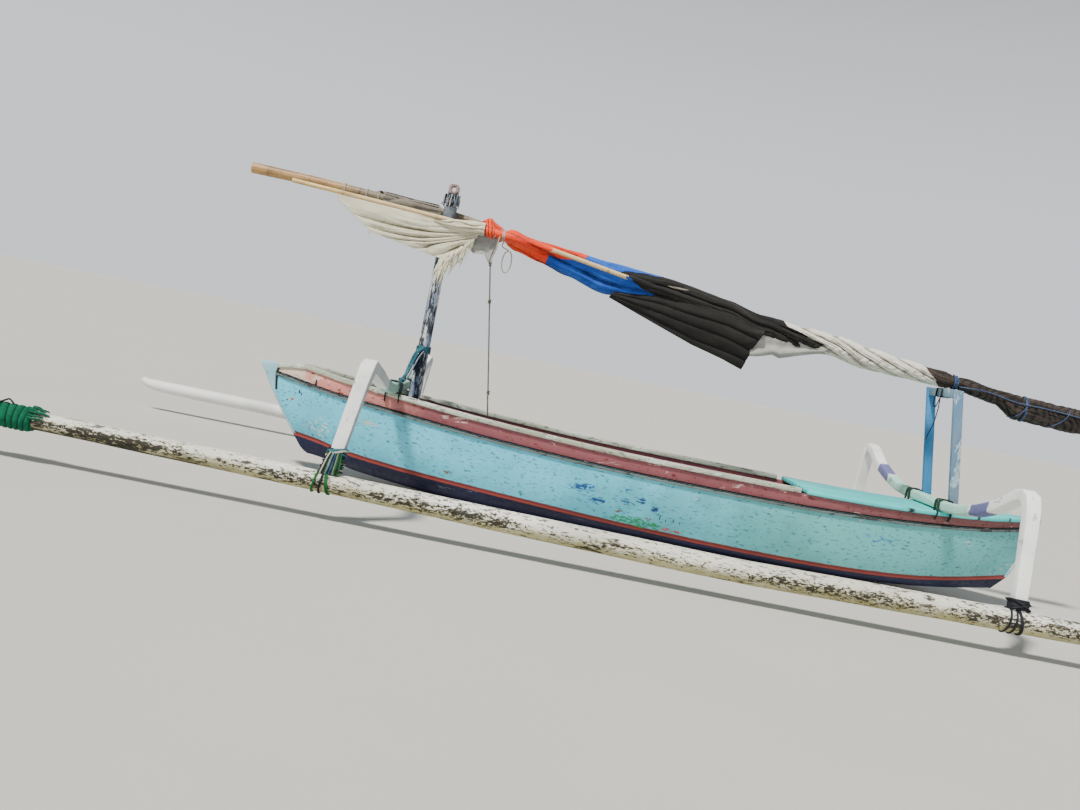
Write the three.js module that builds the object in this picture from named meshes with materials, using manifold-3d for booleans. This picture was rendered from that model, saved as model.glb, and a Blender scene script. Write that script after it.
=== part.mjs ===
// Double-outrigger fishing canoe, furled sailing rig laid aft on its crutch.
// Millimetres. +X towards the stern, +Y to starboard, +Z up. The keel's flat stands on z = 0.
import * as THREE from 'three';
import { mergeVertices } from 'three/addons/utils/BufferGeometryUtils.js';
import Module from 'manifold-3d';

const wasm = await Module();
wasm.setup();

// Driving dimensions
const GAP = 0.3; // clearance between pieces that touch
const LOG_WALL = 34; // side wall of the dugout log
const LOG_FLOOR = 50; // bottom of the dugout log
const NOSE_SHARE = 0.5; // breadth of the log's leading edge beside that of its end station
const PLANK = 28; // topside plank
const WASH = 22; // washstrake
const BULGE = 0.045; // roundness of the topsides, as a share of the half breadth
const POST = { lowHalf: 24, topHalf: 36, nose: 0.42 }; // stem and stern heads
const CAP = { height: 38, outside: 14, width: 58 }; // gunwale capping
const RUB = { height: 26, proud: 13, bury: 2, endInset: 4 }; // black rubbing strake
const ROWS_BETWEEN = 2; // lofted stations from one table row to the next

const MAST = { x: -1345, foot: 128, taperFrom: 900, top: 2440, footRadius: 50, topRadius: 44, sides: 24 };
const MASTHEAD = { size: 84, height: 78, corner: 14, depthShare: 0.8, sheaveRadius: 20 };
const PIVOT_Z = 2285; // height of the yard's sling on the mast
const STROP = { thick: 10, low: 2232, high: 2338 };
const SLING = { thick: 11, length: 46, yardRadius: 38, slope: 0.045 };
const RUNNING = 0.6; // clearance of the sling beside the strop

const FLOAT = { y: 1880, sides: 14 };
const ARMS = [
  { name: 'front', boomX: -1480, footX: -1580, rise: 0 },
  { name: 'rear', boomX: 2955, footX: 2950, rise: 4 },
];
const ARM_INNER = [ // y, height above the seat on the gunwales, share of the arm's own rise
  [0, 0, 0], [430, 0, 0], [700, 16, 0], [1000, 62, 1], [1300, 130, 3]];
const ARM_OUTER = [[1560, 1010], [1650, 1027]]; // y, height where the boom levels out
const ELBOW = { y: 1712, z: 1008 };
const LEG_LINE = [[1750, 946], [1770, 870], [1826, 560]]; // y, height down the leg
const BAR_CUT = { hull: 0.32, leg: 0.1 }; // share of the half section taken off each corner
const SIDES = [
  { name: 'port', sign: -1, floatLift: -12 },
  { name: 'starboard', sign: 1, floatLift: -52 },
];
const BOOM_HALF = { x: 46, up: 40 }; // half the outrigger boom's section at the hull
const LEG_HALF = { x: 50, across: 46, taper: 8 }; // half the leg's section at the elbow
const LASHING = { thick: 13, length: 150, up: 150 };
const WRAP = [[-3830, 70], [-3815, 84], [-3560, 86], [-3505, 80], [-3490, 68]]; // x, radius of the netting

const CRUTCH = { // the foot stands just aft of the rear boom
  topX: 2890, topZ: 1673, footX: 3055, y: 292, halfX: 36, halfY: 23, barHalfX: 30, barHeight: 66 };
const DECK_START = 1850; // forward edge of the aft deck
const AFT_DECK = { crown: 6, start: DECK_START + 60, end: 3795 };
const FOREDECK = { front: -2420, back: -1960, frontZ: 770, backZ: 752, thick: 22 };
const FRAME_X = [-900, 60, 950]; // ribs
const FRAME = { half: 18, deep: 42, drop: 60 };
const STEP = { length: 230, width: 120, above: 32 }; // block that holds the mast's foot
const FLOOR = { start: -760, end: 1750, slat: 70, pitch: 80, thick: 18, bearer: 46, lap: 4 };
const BEARER_X = [-720, -330, 480, 1240, 1710]; // cross bearers under the floorboards
const THWART = 30; // thickness of the thwarts
const WIDE = 1200; // cut boards start wider than the hull
const THWARTS = [
  { name: 'mast_thwart', x: -1345, half: 110, drop: 116 },
  { name: 'thwart_mid', x: -420, half: 90, drop: 110 },
  { name: 'thwart_aft', x: 1430, half: 90, drop: 110 },
];

// Hull stations: x at the sheer, how far the row follows the stem's or the stern's rake (pull),
// the keel's height and half width of its flat, then half breadth and height
// at the painted waterline, at the sheer and at the top of the washstrake.
const STATIONS = [
  // x, pull, keelZ, flat, lineY, lineZ, sheerY, sheerZ, topY, topZ
  [-2484, 1.0, 140, 12, 22, 285, 32, 752, 36, 786],
  [-2240, 0.8, 118, 34, 76, 262, 122, 722, 130, 822],
  [-1900, 0.4, 88, 58, 170, 226, 246, 682, 257, 784],
  [-1350, 0.0, 48, 82, 262, 196, 334, 641, 348, 742],
  [-850, 0.0, 14, 96, 322, 173, 390, 603, 404, 706],
  [-250, 0.0, 0, 100, 352, 147, 424, 570, 438, 675],
  [400, 0.0, 0, 100, 366, 121, 440, 551, 455, 654],
  [1100, 0.0, 0, 100, 368, 103, 446, 545, 461, 648],
  [1800, 0.0, 0, 100, 358, 101, 438, 549, 452, 648],
  [2400, 0.0, 12, 90, 324, 114, 406, 569, 419, 654],
  [2900, 0.0, 44, 72, 262, 146, 346, 598, 358, 674],
  [3400, 0.5, 92, 44, 140, 196, 226, 640, 236, 706],
  [3800, 1.0, 140, 12, 22, 255, 32, 690, 36, 742],
].map(([x, pull, keelZ, flat, lineY, lineZ, sheerY, sheerZ, topY, topZ]) => (
  { x, pull, keelZ, flat, lineY, lineZ, sheerY, sheerZ, topY, topZ }));
const STEM_FRONT = [[131, -2102], [164, -2172], [229, -2226], [321, -2296], [450, -2393],
  [521, -2465], [676, -2536], [792, -2621]]; // height, x of the stem's leading edge
const STEM_JOINT = [[131, -2076], [229, -2200], [321, -2270], [450, -2367], [530, -2446],
  [650, -2482], [752, -2486], [830, -2470]]; // height, x where the planks stop
const STERN_BACK = [[131, 3600], [255, 3716], [450, 3812], [690, 3880], [800, 3905]];
const STERN_JOINT = [[131, 3570], [255, 3690], [450, 3770], [690, 3800], [800, 3802]];

// The furled sail: x, top, bottom, half width, and the cloth that begins at this row
const BUNDLE = [
  [-1075, 2262, 2212, 42, 'orange'],
  [-1010, 2276, 2150, 92],
  [-880, 2250, 2138, 84],
  [-540, 2204, 2036, 104],
  [-330, 2182, 1968, 112, 'blue'],
  [0, 2150, 1884, 120],
  [460, 2120, 1900, 114, 'charcoal'],
  [1000, 2052, 1838, 106],
  [1290, 1980, 1766, 100],
  [1640, 1950, 1750, 96, 'offWhite'],
  [1930, 1936, 1752, 92],
  [2190, 1892, 1700, 92],
  [2500, 1852, 1690, 86],
  [2720, 1830, 1684, 80, 'brown'],
  [2790, 1822, 1680, 78],
  [2990, 1796, 1680, 78],
  [3322, 1756, 1622, 84],
  [3480, 1748, 1530, 96],
  [3966, 1728, 1508, 100],
  [4110, 1716, 1522, 88],
].map(([x, top, bottom, half, cloth]) => ({ x, top, bottom, half, cloth }));
const SAIL_NODES = {
  orange: 'sail_orange',
  blue: 'sail_blue',
  charcoal: 'sail_charcoal',
  offWhite: 'sail_white',
  brown: 'sail_brown',
};
const YARD = [ // x, height, radius, and how far it stands beside the mast as a share
  [-3012, 2349, 46, 1], [-2512, 2338, 43, 1], [-1345, PIVOT_Z, SLING.yardRadius, 1],
  [-1070, 2252, 29, 0.66], [-700, 2170, 26, 0.28]];
const YARD_SIDES = 12;
const SAIL_BOOM = [ // x, y, z along the thin lower spar
  [-2622, -88, 2292], [-1360, -88, 2226], [-960, -98, 2190], [-424, -126, 2140],
  [206, -128, 2040], [420, -70, 2010]];
const SAIL_BOOM_RADIUS = 20;
const CREAM_EDGE = [[-2262, 2215], [-2046, 2078], [-1700, 1998], [-1360, 1902], [-1308, 1768],
  [-1262, 1905], [-1130, 1950], [-943, 1942], [-905, 2100]]; // lower edge of the loose cloth
const CREAM = { y: -100, half: 24, topX: [-920, -1360, -1800, -2262] };
const FLAP_EDGE = [[90, 1856], [782, 1622], [1241, 1496], [1286, 1704], [1330, 1790]];
const FLAP = { y: -58, half: 17, topX: [1330, 900, 500, 90] };

const COLOURS = {
  lightBlue: 0x7fb2c4, navy: 0x23294a, mauve: 0xa97f86, black: 0x26231f, weathered: 0xa9a48f,
  turquoise: 0x2fa7a8, white: 0xd9d8cf, bamboo: 0xb08f62, straw: 0xc8a75d,
  rope: 0x2d4a3c, green: 0x1f6b4f, cream: 0xc9c3b2, orange: 0xc8492c, blue: 0x2456a8,
  charcoal: 0x2b2a2c, offWhite: 0xb9b6ad, brown: 0x352a27, skyBlue: 0x5ba3cf, wood: 0x7d654b,
};

const group = new THREE.Group();

function addMesh(name, geometry, colour, roughness = 0.8) {
  const material = new THREE.MeshStandardMaterial({ color: COLOURS[colour], roughness, metalness: 0 });
  const mesh = new THREE.Mesh(geometry, material);
  mesh.name = name;
  group.add(mesh);
  return mesh;
}

// Closed geometry through rings of equal length, with both ends closed
function loft(rings) {
  const count = rings[0].length;
  const points = rings.flat();
  const positions = points.flatMap((p) => [p.x, p.y, p.z]);
  const index = [];
  for (let r = 0; r + 1 < rings.length; r += 1) {
    for (let i = 0; i < count; i += 1) {
      const [a, b] = [r * count + i, r * count + ((i + 1) % count)];
      const [c, d] = [a + count, b + count];
      // each face is split along its shorter diagonal, so that pieces which meet are split alike
      const alongBC = points[b].distanceTo(points[c]) < points[a].distanceTo(points[d]);
      index.push(...(alongBC ? [a, b, c, b, d, c] : [a, b, d, a, d, c]));
    }
  }
  const closeEnd = (ring, offset, flip) => {
    const normal = ringNormal(ring);
    const side = new THREE.Vector3(0, 0, 1).cross(normal);
    if (side.length() < 0.1) side.set(0, 1, 0);
    side.normalize();
    const up = normal.clone().cross(side);
    const flat = ring.map((p) => new THREE.Vector2(p.dot(side), p.dot(up)));
    for (const [a, b, c] of THREE.ShapeUtils.triangulateShape(flat, [])) {
      index.push(...(flip ? [offset + a, offset + c, offset + b] : [offset + a, offset + b, offset + c]));
    }
  };
  closeEnd(rings[0], 0, true);
  closeEnd(rings[rings.length - 1], (rings.length - 1) * count, false);
  const geometry = new THREE.BufferGeometry();
  geometry.setAttribute('position', new THREE.Float32BufferAttribute(positions, 3));
  geometry.setIndex(index);
  return signedVolume(geometry) < 0 ? flipped(geometry) : geometry;
}

function ringNormal(ring) {
  const normal = new THREE.Vector3();
  ring.forEach((p, i) => normal.add(p.clone().cross(ring[(i + 1) % ring.length])));
  return normal.normalize();
}

function signedVolume(geometry) {
  const p = geometry.getAttribute('position');
  const index = geometry.getIndex().array;
  const [a, b, c] = [new THREE.Vector3(), new THREE.Vector3(), new THREE.Vector3()];
  let volume = 0;
  for (let i = 0; i < index.length; i += 3) {
    a.fromBufferAttribute(p, index[i]);
    b.fromBufferAttribute(p, index[i + 1]);
    c.fromBufferAttribute(p, index[i + 2]);
    volume += a.dot(b.cross(c));
  }
  return volume;
}

function flipped(geometry) {
  const index = Array.from(geometry.getIndex().array);
  for (let i = 0; i < index.length; i += 3) {
    [index[i + 1], index[i + 2]] = [index[i + 2], index[i + 1]];
  }
  geometry.setIndex(index);
  return geometry;
}

function toSolid(geometry) {
  const bare = new THREE.BufferGeometry();
  bare.setAttribute('position', geometry.getAttribute('position').clone());
  if (geometry.getIndex()) bare.setIndex(geometry.getIndex().clone());
  const merged = mergeVertices(bare, 1e-3);
  return new wasm.Manifold(new wasm.Mesh({
    numProp: 3,
    vertProperties: new Float32Array(merged.getAttribute('position').array),
    triVerts: new Uint32Array(merged.getIndex().array),
  }));
}

function toGeometry(solid) {
  const mesh = solid.getMesh();
  const geometry = new THREE.BufferGeometry();
  geometry.setAttribute('position', new THREE.Float32BufferAttribute(mesh.vertProperties, 3));
  geometry.setIndex(Array.from(mesh.triVerts));
  return geometry;
}

const box = (x, y, z, sizeX, sizeY, sizeZ) => new THREE.BoxGeometry(sizeX, sizeY, sizeZ).translate(x, y, z);

function along(table, key, column = 1) {
  if (key <= table[0][0]) return table[0][column];
  for (let i = 0; i + 1 < table.length; i += 1) {
    if (key <= table[i + 1][0]) {
      const f = (key - table[i][0]) / (table[i + 1][0] - table[i][0]);
      return THREE.MathUtils.lerp(table[i][column], table[i + 1][column], f);
    }
  }
  return table[table.length - 1][column];
}

// Smooth station between two rows of the table
function stationAt(t) {
  const i = Math.min(Math.floor(t), STATIONS.length - 2);
  const f = t - i;
  const rows = [-1, 0, 1, 2].map((k) => STATIONS[THREE.MathUtils.clamp(i + k, 0, STATIONS.length - 1)]);
  const curve = (key) => {
    const [a, b, c, d] = rows.map((row) => row[key]);
    return b + 0.5 * f * (c - a + f * (2 * a - 5 * b + 4 * c - d + f * (3 * (b - c) + d - a)));
  };
  const station = Object.fromEntries(Object.keys(rows[0]).map((key) => [key, curve(key)]));
  return { ...station, keelZ: Math.max(station.keelZ, 0) };
}

function stationRange(from, to) {
  const steps = Math.round((to - from) * ROWS_BETWEEN);
  return Array.from({ length: steps + 1 }, (_, k) => stationAt(from + ((to - from) * k) / steps));
}

// x of a point at height z on a station, following the raked ends
function raked(station, z) {
  const line = station.x < 0 ? STEM_JOINT : STERN_JOINT;
  return station.x + station.pull * (along(line, z) - along(line, station.sheerZ));
}

const onStation = (station, y, z) => new THREE.Vector3(raked(station, z), y, z);

// The topside's outer face from waterline to sheer, as [half breadth, height], with a point under the strake
function sideLine(s, low = 0, high = 0) {
  const bulge = BULGE * s.lineY;
  const [bottom, top] = [s.lineZ + low, s.sheerZ - high];
  const between = [0.36, 0.7].map((share) => THREE.MathUtils.lerp(bottom, top, share));
  return [bottom, ...between, top - RUB.height, top].map((z) => {
    const g = (z - s.lineZ) / (s.sheerZ - s.lineZ);
    return [THREE.MathUtils.lerp(s.lineY, s.sheerY, g) + bulge * 4 * g * (1 - g), z];
  });
}

const inward = (y, by) => Math.max(y - by, 3);

function logSection(s, inset = 0, floor = 0, top = s.lineZ) {
  const z0 = s.keelZ + floor;
  const flat = Math.max(s.flat - inset * 0.5, 6);
  const edge = Math.max(s.lineY - inset, 8);
  const curve = new THREE.QuadraticBezierCurve(
    new THREE.Vector2(flat, z0),
    new THREE.Vector2(flat + (edge - flat) * 0.8, z0 + (s.lineZ - z0) * 0.12),
    new THREE.Vector2(edge, s.lineZ),
  );
  const half = curve.getPoints(4).map((p) => [p.x, p.y]);
  if (top > s.lineZ) half.push([edge, top]);
  return half;
}

function mirrored(half) {
  return [...half, ...half.slice().reverse().map(([y, z]) => [-y, z])];
}

function buildLog() {
  const rows = stationRange(0, 12);
  const body = rows.map((s) => mirrored(logSection(s)).map(([y, z]) => onStation(s, y, z)));
  const nose = (s, front) => mirrored(logSection(s))
    .map(([y, z]) => new THREE.Vector3(along(front, z), y * NOSE_SHARE, z));
  const outer = loft([nose(rows[0], STEM_FRONT), ...body, nose(rows[rows.length - 1], STERN_BACK)]);
  const hollow = loft(stationRange(1.5, 10.5).map((s) => (
    mirrored(logSection(s, LOG_WALL, LOG_FLOOR, s.lineZ + 30)).map(([y, z]) => onStation(s, y, z)))));
  addMesh('hull_log', toGeometry(toSolid(outer).subtract(toSolid(hollow))), 'navy');
}

function buildTopsides() {
  for (const { name, sign } of SIDES) {
    const ring = (s, half) => half.map(([y, z]) => onStation(s, sign * y, z));
    const all = stationRange(0, 12);
    const plank = (grow) => loft(all.map((s) => {
      const line = sideLine(s, GAP, GAP);
      const inner = line.slice().reverse().map(([y, z]) => [inward(y, PLANK), z]);
      return ring(s, [...line.map(([y, z]) => [y + grow, z]), ...inner]);
    }));
    addMesh(`side_plank_${name}`, plank(0), 'lightBlue');
    const strake = toSolid(loft(all.map((s, k) => {
      const [[low, lowZ], [high, highZ]] = sideLine(s, GAP, GAP).slice(-2);
      const atEnd = k === 0 || k === all.length - 1;
      const short = atEnd ? -RUB.endInset * Math.sign(s.x) : 0;
      const [inner, outer] = [-RUB.bury, RUB.proud];
      const corners = [[low + inner, lowZ], [low + outer, lowZ],
        [high + outer, highZ - GAP], [high + inner, highZ - GAP]];
      return ring(s, corners).map((p) => p.setX(p.x + short));
    })));
    addMesh(`rubbing_strake_${name}`, toGeometry(strake.subtract(toSolid(plank(GAP)))), 'black');
    addMesh(`washstrake_${name}`, loft(all.map((s) => ring(s, [
      [s.sheerY, s.sheerZ], [s.topY, s.topZ - GAP], [inward(s.topY, WASH), s.topZ - GAP],
      [inward(s.sheerY, WASH), s.sheerZ]]))), 'mauve');
    const capped = all.filter((s) => s.x < DECK_START);
    addMesh(`gunwale_${name}`, loft(capped.map((s) => {
      const out = s.topY + CAP.outside;
      return ring(s, [[out, s.topZ], [out, s.topZ + CAP.height],
        [inward(out, CAP.width), s.topZ + CAP.height], [inward(out, CAP.width), s.topZ]]);
    })), 'weathered');
  }
}

// The space inside the planking, drawn in by an inset
function inside(inset, from, to, top) {
  return toSolid(loft(stationRange(from, to).map((s) => {
    const floor = logSection(s, LOG_WALL + inset, LOG_FLOOR + inset).slice(0, -1);
    const edge = s.lineY - Math.max(LOG_WALL, PLANK) - inset;
    const side = sideLine(s).map(([y, z]) => [y - PLANK - inset, z]);
    side[0][0] = edge;
    const wash = [[s.sheerY, s.sheerZ], [s.topY, s.topZ], [s.topY, s.topZ + top]]
      .map(([y, z]) => [y - WASH - inset, z]);
    const half = [...floor, ...side, ...wash];
    return mirrored(half.map(([y, z]) => [Math.max(y, 2), z])).map(([y, z]) => onStation(s, y, z));
  })));
}

function endPost(name, station, front, joint, colour) {
  const outward = Math.sign(station.x);
  const levels = [...sideLine(station, GAP, GAP).map(([, z]) => z), station.sheerZ, station.topZ - GAP,
    station.topZ + CAP.height];
  const [low, high] = [levels[0], levels[levels.length - 1]];
  const rings = levels.map((z) => {
    const tip = along(front, z);
    const back = along(joint, z) + outward * GAP;
    const half = THREE.MathUtils.lerp(POST.lowHalf, POST.topHalf, (z - low) / (high - low));
    const nose = Math.min(half, Math.abs(tip - back)) * POST.nose;
    return [[back, half], [tip - outward * nose, half], [tip, half - nose], [tip, nose - half],
      [tip - outward * nose, -half], [back, -half]].map(([x, y]) => new THREE.Vector3(x, y, z));
  });
  addMesh(name, loft(rings), colour);
}

function buildEnds() {
  endPost('stem_head', STATIONS[0], STEM_FRONT, STEM_JOINT, 'lightBlue');
  endPost('stern_head', STATIONS[STATIONS.length - 1], STERN_BACK, STERN_JOINT, 'lightBlue');
}

function buildDecks(hollow) {
  const { front, back, frontZ, backZ, thick } = FOREDECK;
  const fore = toSolid(loft([[front, frontZ], [back, backZ]].map(([x, z]) => (
    [[-WIDE / 2, z], [WIDE / 2, z], [WIDE / 2, z + thick], [-WIDE / 2, z + thick]]
      .map(([y, level]) => new THREE.Vector3(x, y, level))))));
  addMesh('foredeck', toGeometry(fore.intersect(hollow)), 'weathered');
  addMesh('aft_deck', aftDeckGeometry(), 'turquoise');
}

function aftDeckGeometry(grow = 0) {
  const { start, end } = AFT_DECK;
  const rows = stationRange(0, 12).filter((s) => s.x > start && s.x < end);
  return loft([stationAtX(DECK_START), ...rows, stationAtX(end)].map((s) => {
    const half = s.topY + CAP.outside;
    const side = CAP.height - AFT_DECK.crown + grow;
    return [[-half, 0], [half, 0], [half, side], [0, side + AFT_DECK.crown], [-half, side]]
      .map(([y, z]) => onStation(s, y, s.topZ + z));
  }));
}

function stationAtX(x) {
  let low = 0;
  let high = STATIONS.length - 1;
  for (let k = 0; k < 40; k += 1) {
    const mid = (low + high) / 2;
    if (stationAt(mid).x < x) low = mid;
    else high = mid;
  }
  return stationAt(low);
}

function buildInside(hollow) {
  const lining = inside(GAP + FRAME.deep, 1.5, 10.5, 400);
  FRAME_X.forEach((x, k) => {
    const top = stationAtX(x).topZ - FRAME.drop;
    const slab = toSolid(box(x, 0, top / 2, FRAME.half * 2, WIDE, top));
    addMesh(`frame_${k + 1}`, toGeometry(slab.intersect(hollow).subtract(lining)), 'wood');
  });
  const mast = toSolid(mastGeometry(GAP));
  for (const { name, x, half, drop } of THWARTS) {
    const top = stationAtX(x).topZ - drop;
    const board = toSolid(box(x, 0, top - THWART / 2, half * 2, WIDE, THWART)).intersect(hollow);
    addMesh(name, toGeometry(name === 'mast_thwart' ? board.subtract(mast) : board), 'wood');
  }
  const stepTop = MAST.foot + STEP.above;
  const step = toSolid(box(MAST.x, 0, stepTop / 2, STEP.length, STEP.width, stepTop));
  addMesh('mast_step', toGeometry(step.intersect(hollow).subtract(mast)), 'wood');
  buildFloorboards(hollow);
}

function buildFloorboards(hollow) {
  const { start, end, slat, pitch, thick, bearer, lap } = FLOOR;
  const base = LOG_FLOOR + FRAME.deep + 2 * GAP;
  const aboveFrames = inside(2 * GAP + FRAME.deep, 1.5, 10.5, 0);
  const ribs = FRAME_X.map((x) => (
    toSolid(box(x, 0, base, FRAME.half * 2 + 2 * GAP, WIDE, base * 2)).subtract(aboveFrames)));
  const slats = [-2, -1, 0, 1, 2].map((k) => {
    const slatBox = box((start + end) / 2, k * pitch, base + thick / 2, end - start, slat, thick);
    return ribs.reduce((board, rib) => board.subtract(rib), toSolid(slatBox).intersect(hollow));
  });
  const bearers = BEARER_X.map((x) => (
    toSolid(box(x, 0, (base + lap) / 2, bearer, 4 * pitch, base + lap)).intersect(hollow)));
  addMesh('floorboards', toGeometry([...slats, ...bearers].reduce((a, b) => a.add(b))), 'wood');
}

const mastRadius = (z) => along([[MAST.taperFrom, MAST.footRadius], [MAST.top, MAST.topRadius]], z);

function mastGeometry(grow) {
  const profile = [[0, MAST.foot - grow], [MAST.footRadius + grow, MAST.foot - grow],
    [MAST.footRadius + grow, MAST.taperFrom], [MAST.topRadius + grow, MAST.top + grow], [0, MAST.top + grow]]
    .map(([r, z]) => new THREE.Vector2(r, z));
  return new THREE.LatheGeometry(profile, MAST.sides).rotateX(Math.PI / 2).translate(MAST.x, 0, 0);
}

function buildMast() {
  addMesh('mast', mastGeometry(0), 'offWhite');
  const { size, height, corner, sheaveRadius } = MASTHEAD;
  const h = size / 2;
  const face = new THREE.Shape([[-h, 0], [h, 0], [h, height - corner], [h - corner, height],
    [corner - h, height], [-h, height - corner]].map(([x, z]) => new THREE.Vector2(x, z)));
  face.holes.push(new THREE.Path().absarc(0, height * 0.5, sheaveRadius, 0, Math.PI * 2, true));
  const depth = size * MASTHEAD.depthShare;
  const head = new THREE.ExtrudeGeometry(face, { depth, bevelEnabled: false, curveSegments: 8 })
    .rotateX(Math.PI / 2).translate(MAST.x, depth / 2, MAST.top + GAP);
  addMesh('masthead', head, 'weathered');
}

// Round bar through points, as rings that face along it
function ringsAlong(points, radii, sides, grow = 0) {
  return points.map((p, i) => {
    const before = points[Math.max(i - 1, 0)];
    const after = points[Math.min(i + 1, points.length - 1)];
    const heading = after.clone().sub(before).normalize();
    const down = new THREE.Vector3(0, 1, 0).cross(heading).normalize();
    const out = heading.clone().cross(down);
    const radius = radii[i] + grow;
    return Array.from({ length: sides }, (_, k) => {
      const angle = (2 * Math.PI * (k + 0.5)) / sides;
      const ring = p.clone().addScaledVector(down, radius * Math.cos(angle));
      return ring.addScaledVector(out, radius * Math.sin(angle));
    });
  });
}

// Floats: x, height of the axis, radius
const FLOAT_LINE = [
  [-4270, 340, 10], [-4240, 323, 29], [-4190, 304, 47], [-4110, 294, 57], [-3980, 290, 60], [-3720, 288, 61],
  [-3070, 283, 63], [-2410, 272, 66], [-1580, 260, 70], [-770, 242, 74], [-110, 231, 77], [550, 221, 79],
  [1200, 214, 80], [1860, 226, 80], [2515, 239, 79], [3340, 246, 76], [3950, 252, 68], [4270, 258, 58]];

function floatGeometry({ sign, floatLift }, grow = 0) {
  const points = FLOAT_LINE.map(([x, z]) => new THREE.Vector3(x, sign * FLOAT.y, z + floatLift));
  return loft(ringsAlong(points, FLOAT_LINE.map((row) => row[2]), FLOAT.sides, grow));
}

// The arm's centre line across the hull: level over the gunwales, up to the elbow and down to the float
function armPath(arm, side) {
  const floatZ = along(FLOAT_LINE, arm.footX) + side.floatLift;
  const { boomX, footX, rise } = arm;
  const capTop = Math.max(...[-1, 1].map((k) => stationAtX(boomX + k * BOOM_HALF.x).topZ)) + CAP.height;
  const seat = capTop + GAP + BOOM_HALF.up;
  const inner = [...ARM_INNER.map(([y, above, share]) => [y, seat + above + share * rise]), ...ARM_OUTER];
  const outer = [...LEG_LINE, [FLOAT.y, floatZ]];
  const place = ([y, z]) => {
    const f = THREE.MathUtils.clamp((ELBOW.z - z) / (ELBOW.z - floatZ), 0, 1);
    const x = y > ELBOW.y ? THREE.MathUtils.lerp(boomX, footX, f) : boomX;
    return new THREE.Vector3(x, side.sign * y, z);
  };
  return { inner: inner.map(place), elbow: place([ELBOW.y, ELBOW.z]), outer: outer.map(place) };
}

function barRing(before, point, after, halfX, halfAcross, cut) {
  const dir = after.clone().sub(before).setX(0).normalize();
  const across = new THREE.Vector3(0, -dir.z, dir.y);
  const c = 1 - cut;
  return [[-1, -c], [-1, c], [-c, 1], [c, 1], [1, c], [1, -c], [c, -1], [-c, -1]].map(([a, b]) => (
    point.clone().add(new THREE.Vector3(a * halfX, 0, 0)).addScaledVector(across, b * halfAcross)));
}

// Each of the three pairs gives the value at the start of the path and at its end
function ringsOf(path, halfX, halfAcross, cut, grow = 0) {
  return path.map((p, i) => {
    const before = path[Math.max(i - 1, 0)];
    const after = path[Math.min(i + 1, path.length - 1)];
    const f = Math.max(0, (i - 1) / Math.max(1, path.length - 2));
    const [x, a, c] = [halfX, halfAcross, cut].map(([start, end]) => THREE.MathUtils.lerp(start, end, f));
    return barRing(before, p, after, x + grow, a + grow, c);
  });
}

function buildArms() {
  for (const arm of ARMS) {
    const paths = SIDES.map((side) => armPath(arm, side));
    const [port, starboard] = paths.map((path) => (
      ringsOf([...path.inner, path.elbow, path.outer[0]], [BOOM_HALF.x, LEG_HALF.x],
        [BOOM_HALF.up, LEG_HALF.across], [BAR_CUT.hull, BAR_CUT.leg]).slice(0, -1)));
    const rings = [...port.slice(1).reverse().map((ring) => PORT_ORDER.map((k) => ring[k])), ...starboard];
    addMesh(`boom_${arm.name}`, loft(rings), 'white');
    SIDES.forEach((side, k) => buildLeg(arm, side, paths[k]));
  }
}

// Rings of the port half run the other way round, so their corners are taken in this order
const PORT_ORDER = [3, 2, 1, 0, 7, 6, 5, 4];

function legRings(path, grow = 0) {
  const all = [path.inner[path.inner.length - 1], path.elbow, ...path.outer];
  const { x, across, taper } = LEG_HALF;
  const cut = [BAR_CUT.leg, BAR_CUT.leg];
  return ringsOf(all, [x, x - taper], [across - 1, across - taper], cut, grow).slice(1);
}

function buildLeg(arm, side, path) {
  const rings = legRings(path);
  rings[0] = rings[0].map((p) => p.clone().add(path.outer[0].clone().sub(path.elbow).setLength(GAP)));
  const float = toSolid(floatGeometry(side, GAP));
  const leg = toSolid(loft(rings)).subtract(float);
  addMesh(`leg_${arm.name}_${side.name}`, toGeometry(leg), 'white');

  const foot = path.outer[path.outer.length - 1];
  const up = path.outer[path.outer.length - 2].clone().sub(foot).normalize();
  const collarPath = [foot.clone().addScaledVector(up, LASHING.up), foot];
  const radius = along(FLOAT_LINE, arm.footX, 2);
  const [collarX, collarAcross] = [LEG_HALF.x - 4, LEG_HALF.across - 4];
  const collar = toSolid(loft(ringsOf(collarPath, [collarX, collarX], [collarAcross, collarAcross],
    [BAR_CUT.hull, BAR_CUT.hull], LASHING.thick)));
  const bandPoints = [-1, 1].map((k) => new THREE.Vector3(foot.x + (k * LASHING.length) / 2, foot.y,
    along(FLOAT_LINE, foot.x + (k * LASHING.length) / 2) + side.floatLift));
  const band = toSolid(loft(ringsAlong(bandPoints, [radius, radius], FLOAT.sides, LASHING.thick)));
  const wrapped = collar.add(band).subtract(float).subtract(toSolid(loft(legRings(path, GAP))));
  addMesh(`lashing_${arm.name}_${side.name}`, toGeometry(wrapped), 'rope', 0.95);
}

function buildFloats() {
  for (const side of SIDES) addMesh(`float_${side.name}`, floatGeometry(side), 'white');
  const [port] = SIDES;
  const points = WRAP.map(([x]) => (
    new THREE.Vector3(x, port.sign * FLOAT.y, along(FLOAT_LINE, x) + port.floatLift)));
  const rings = ringsAlong(points, WRAP.map((row) => row[1]), FLOAT.sides);
  const wrap = toSolid(loft(rings)).subtract(toSolid(floatGeometry(port, GAP)));
  addMesh('float_wrap', toGeometry(wrap), 'green', 0.95);
}

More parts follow.
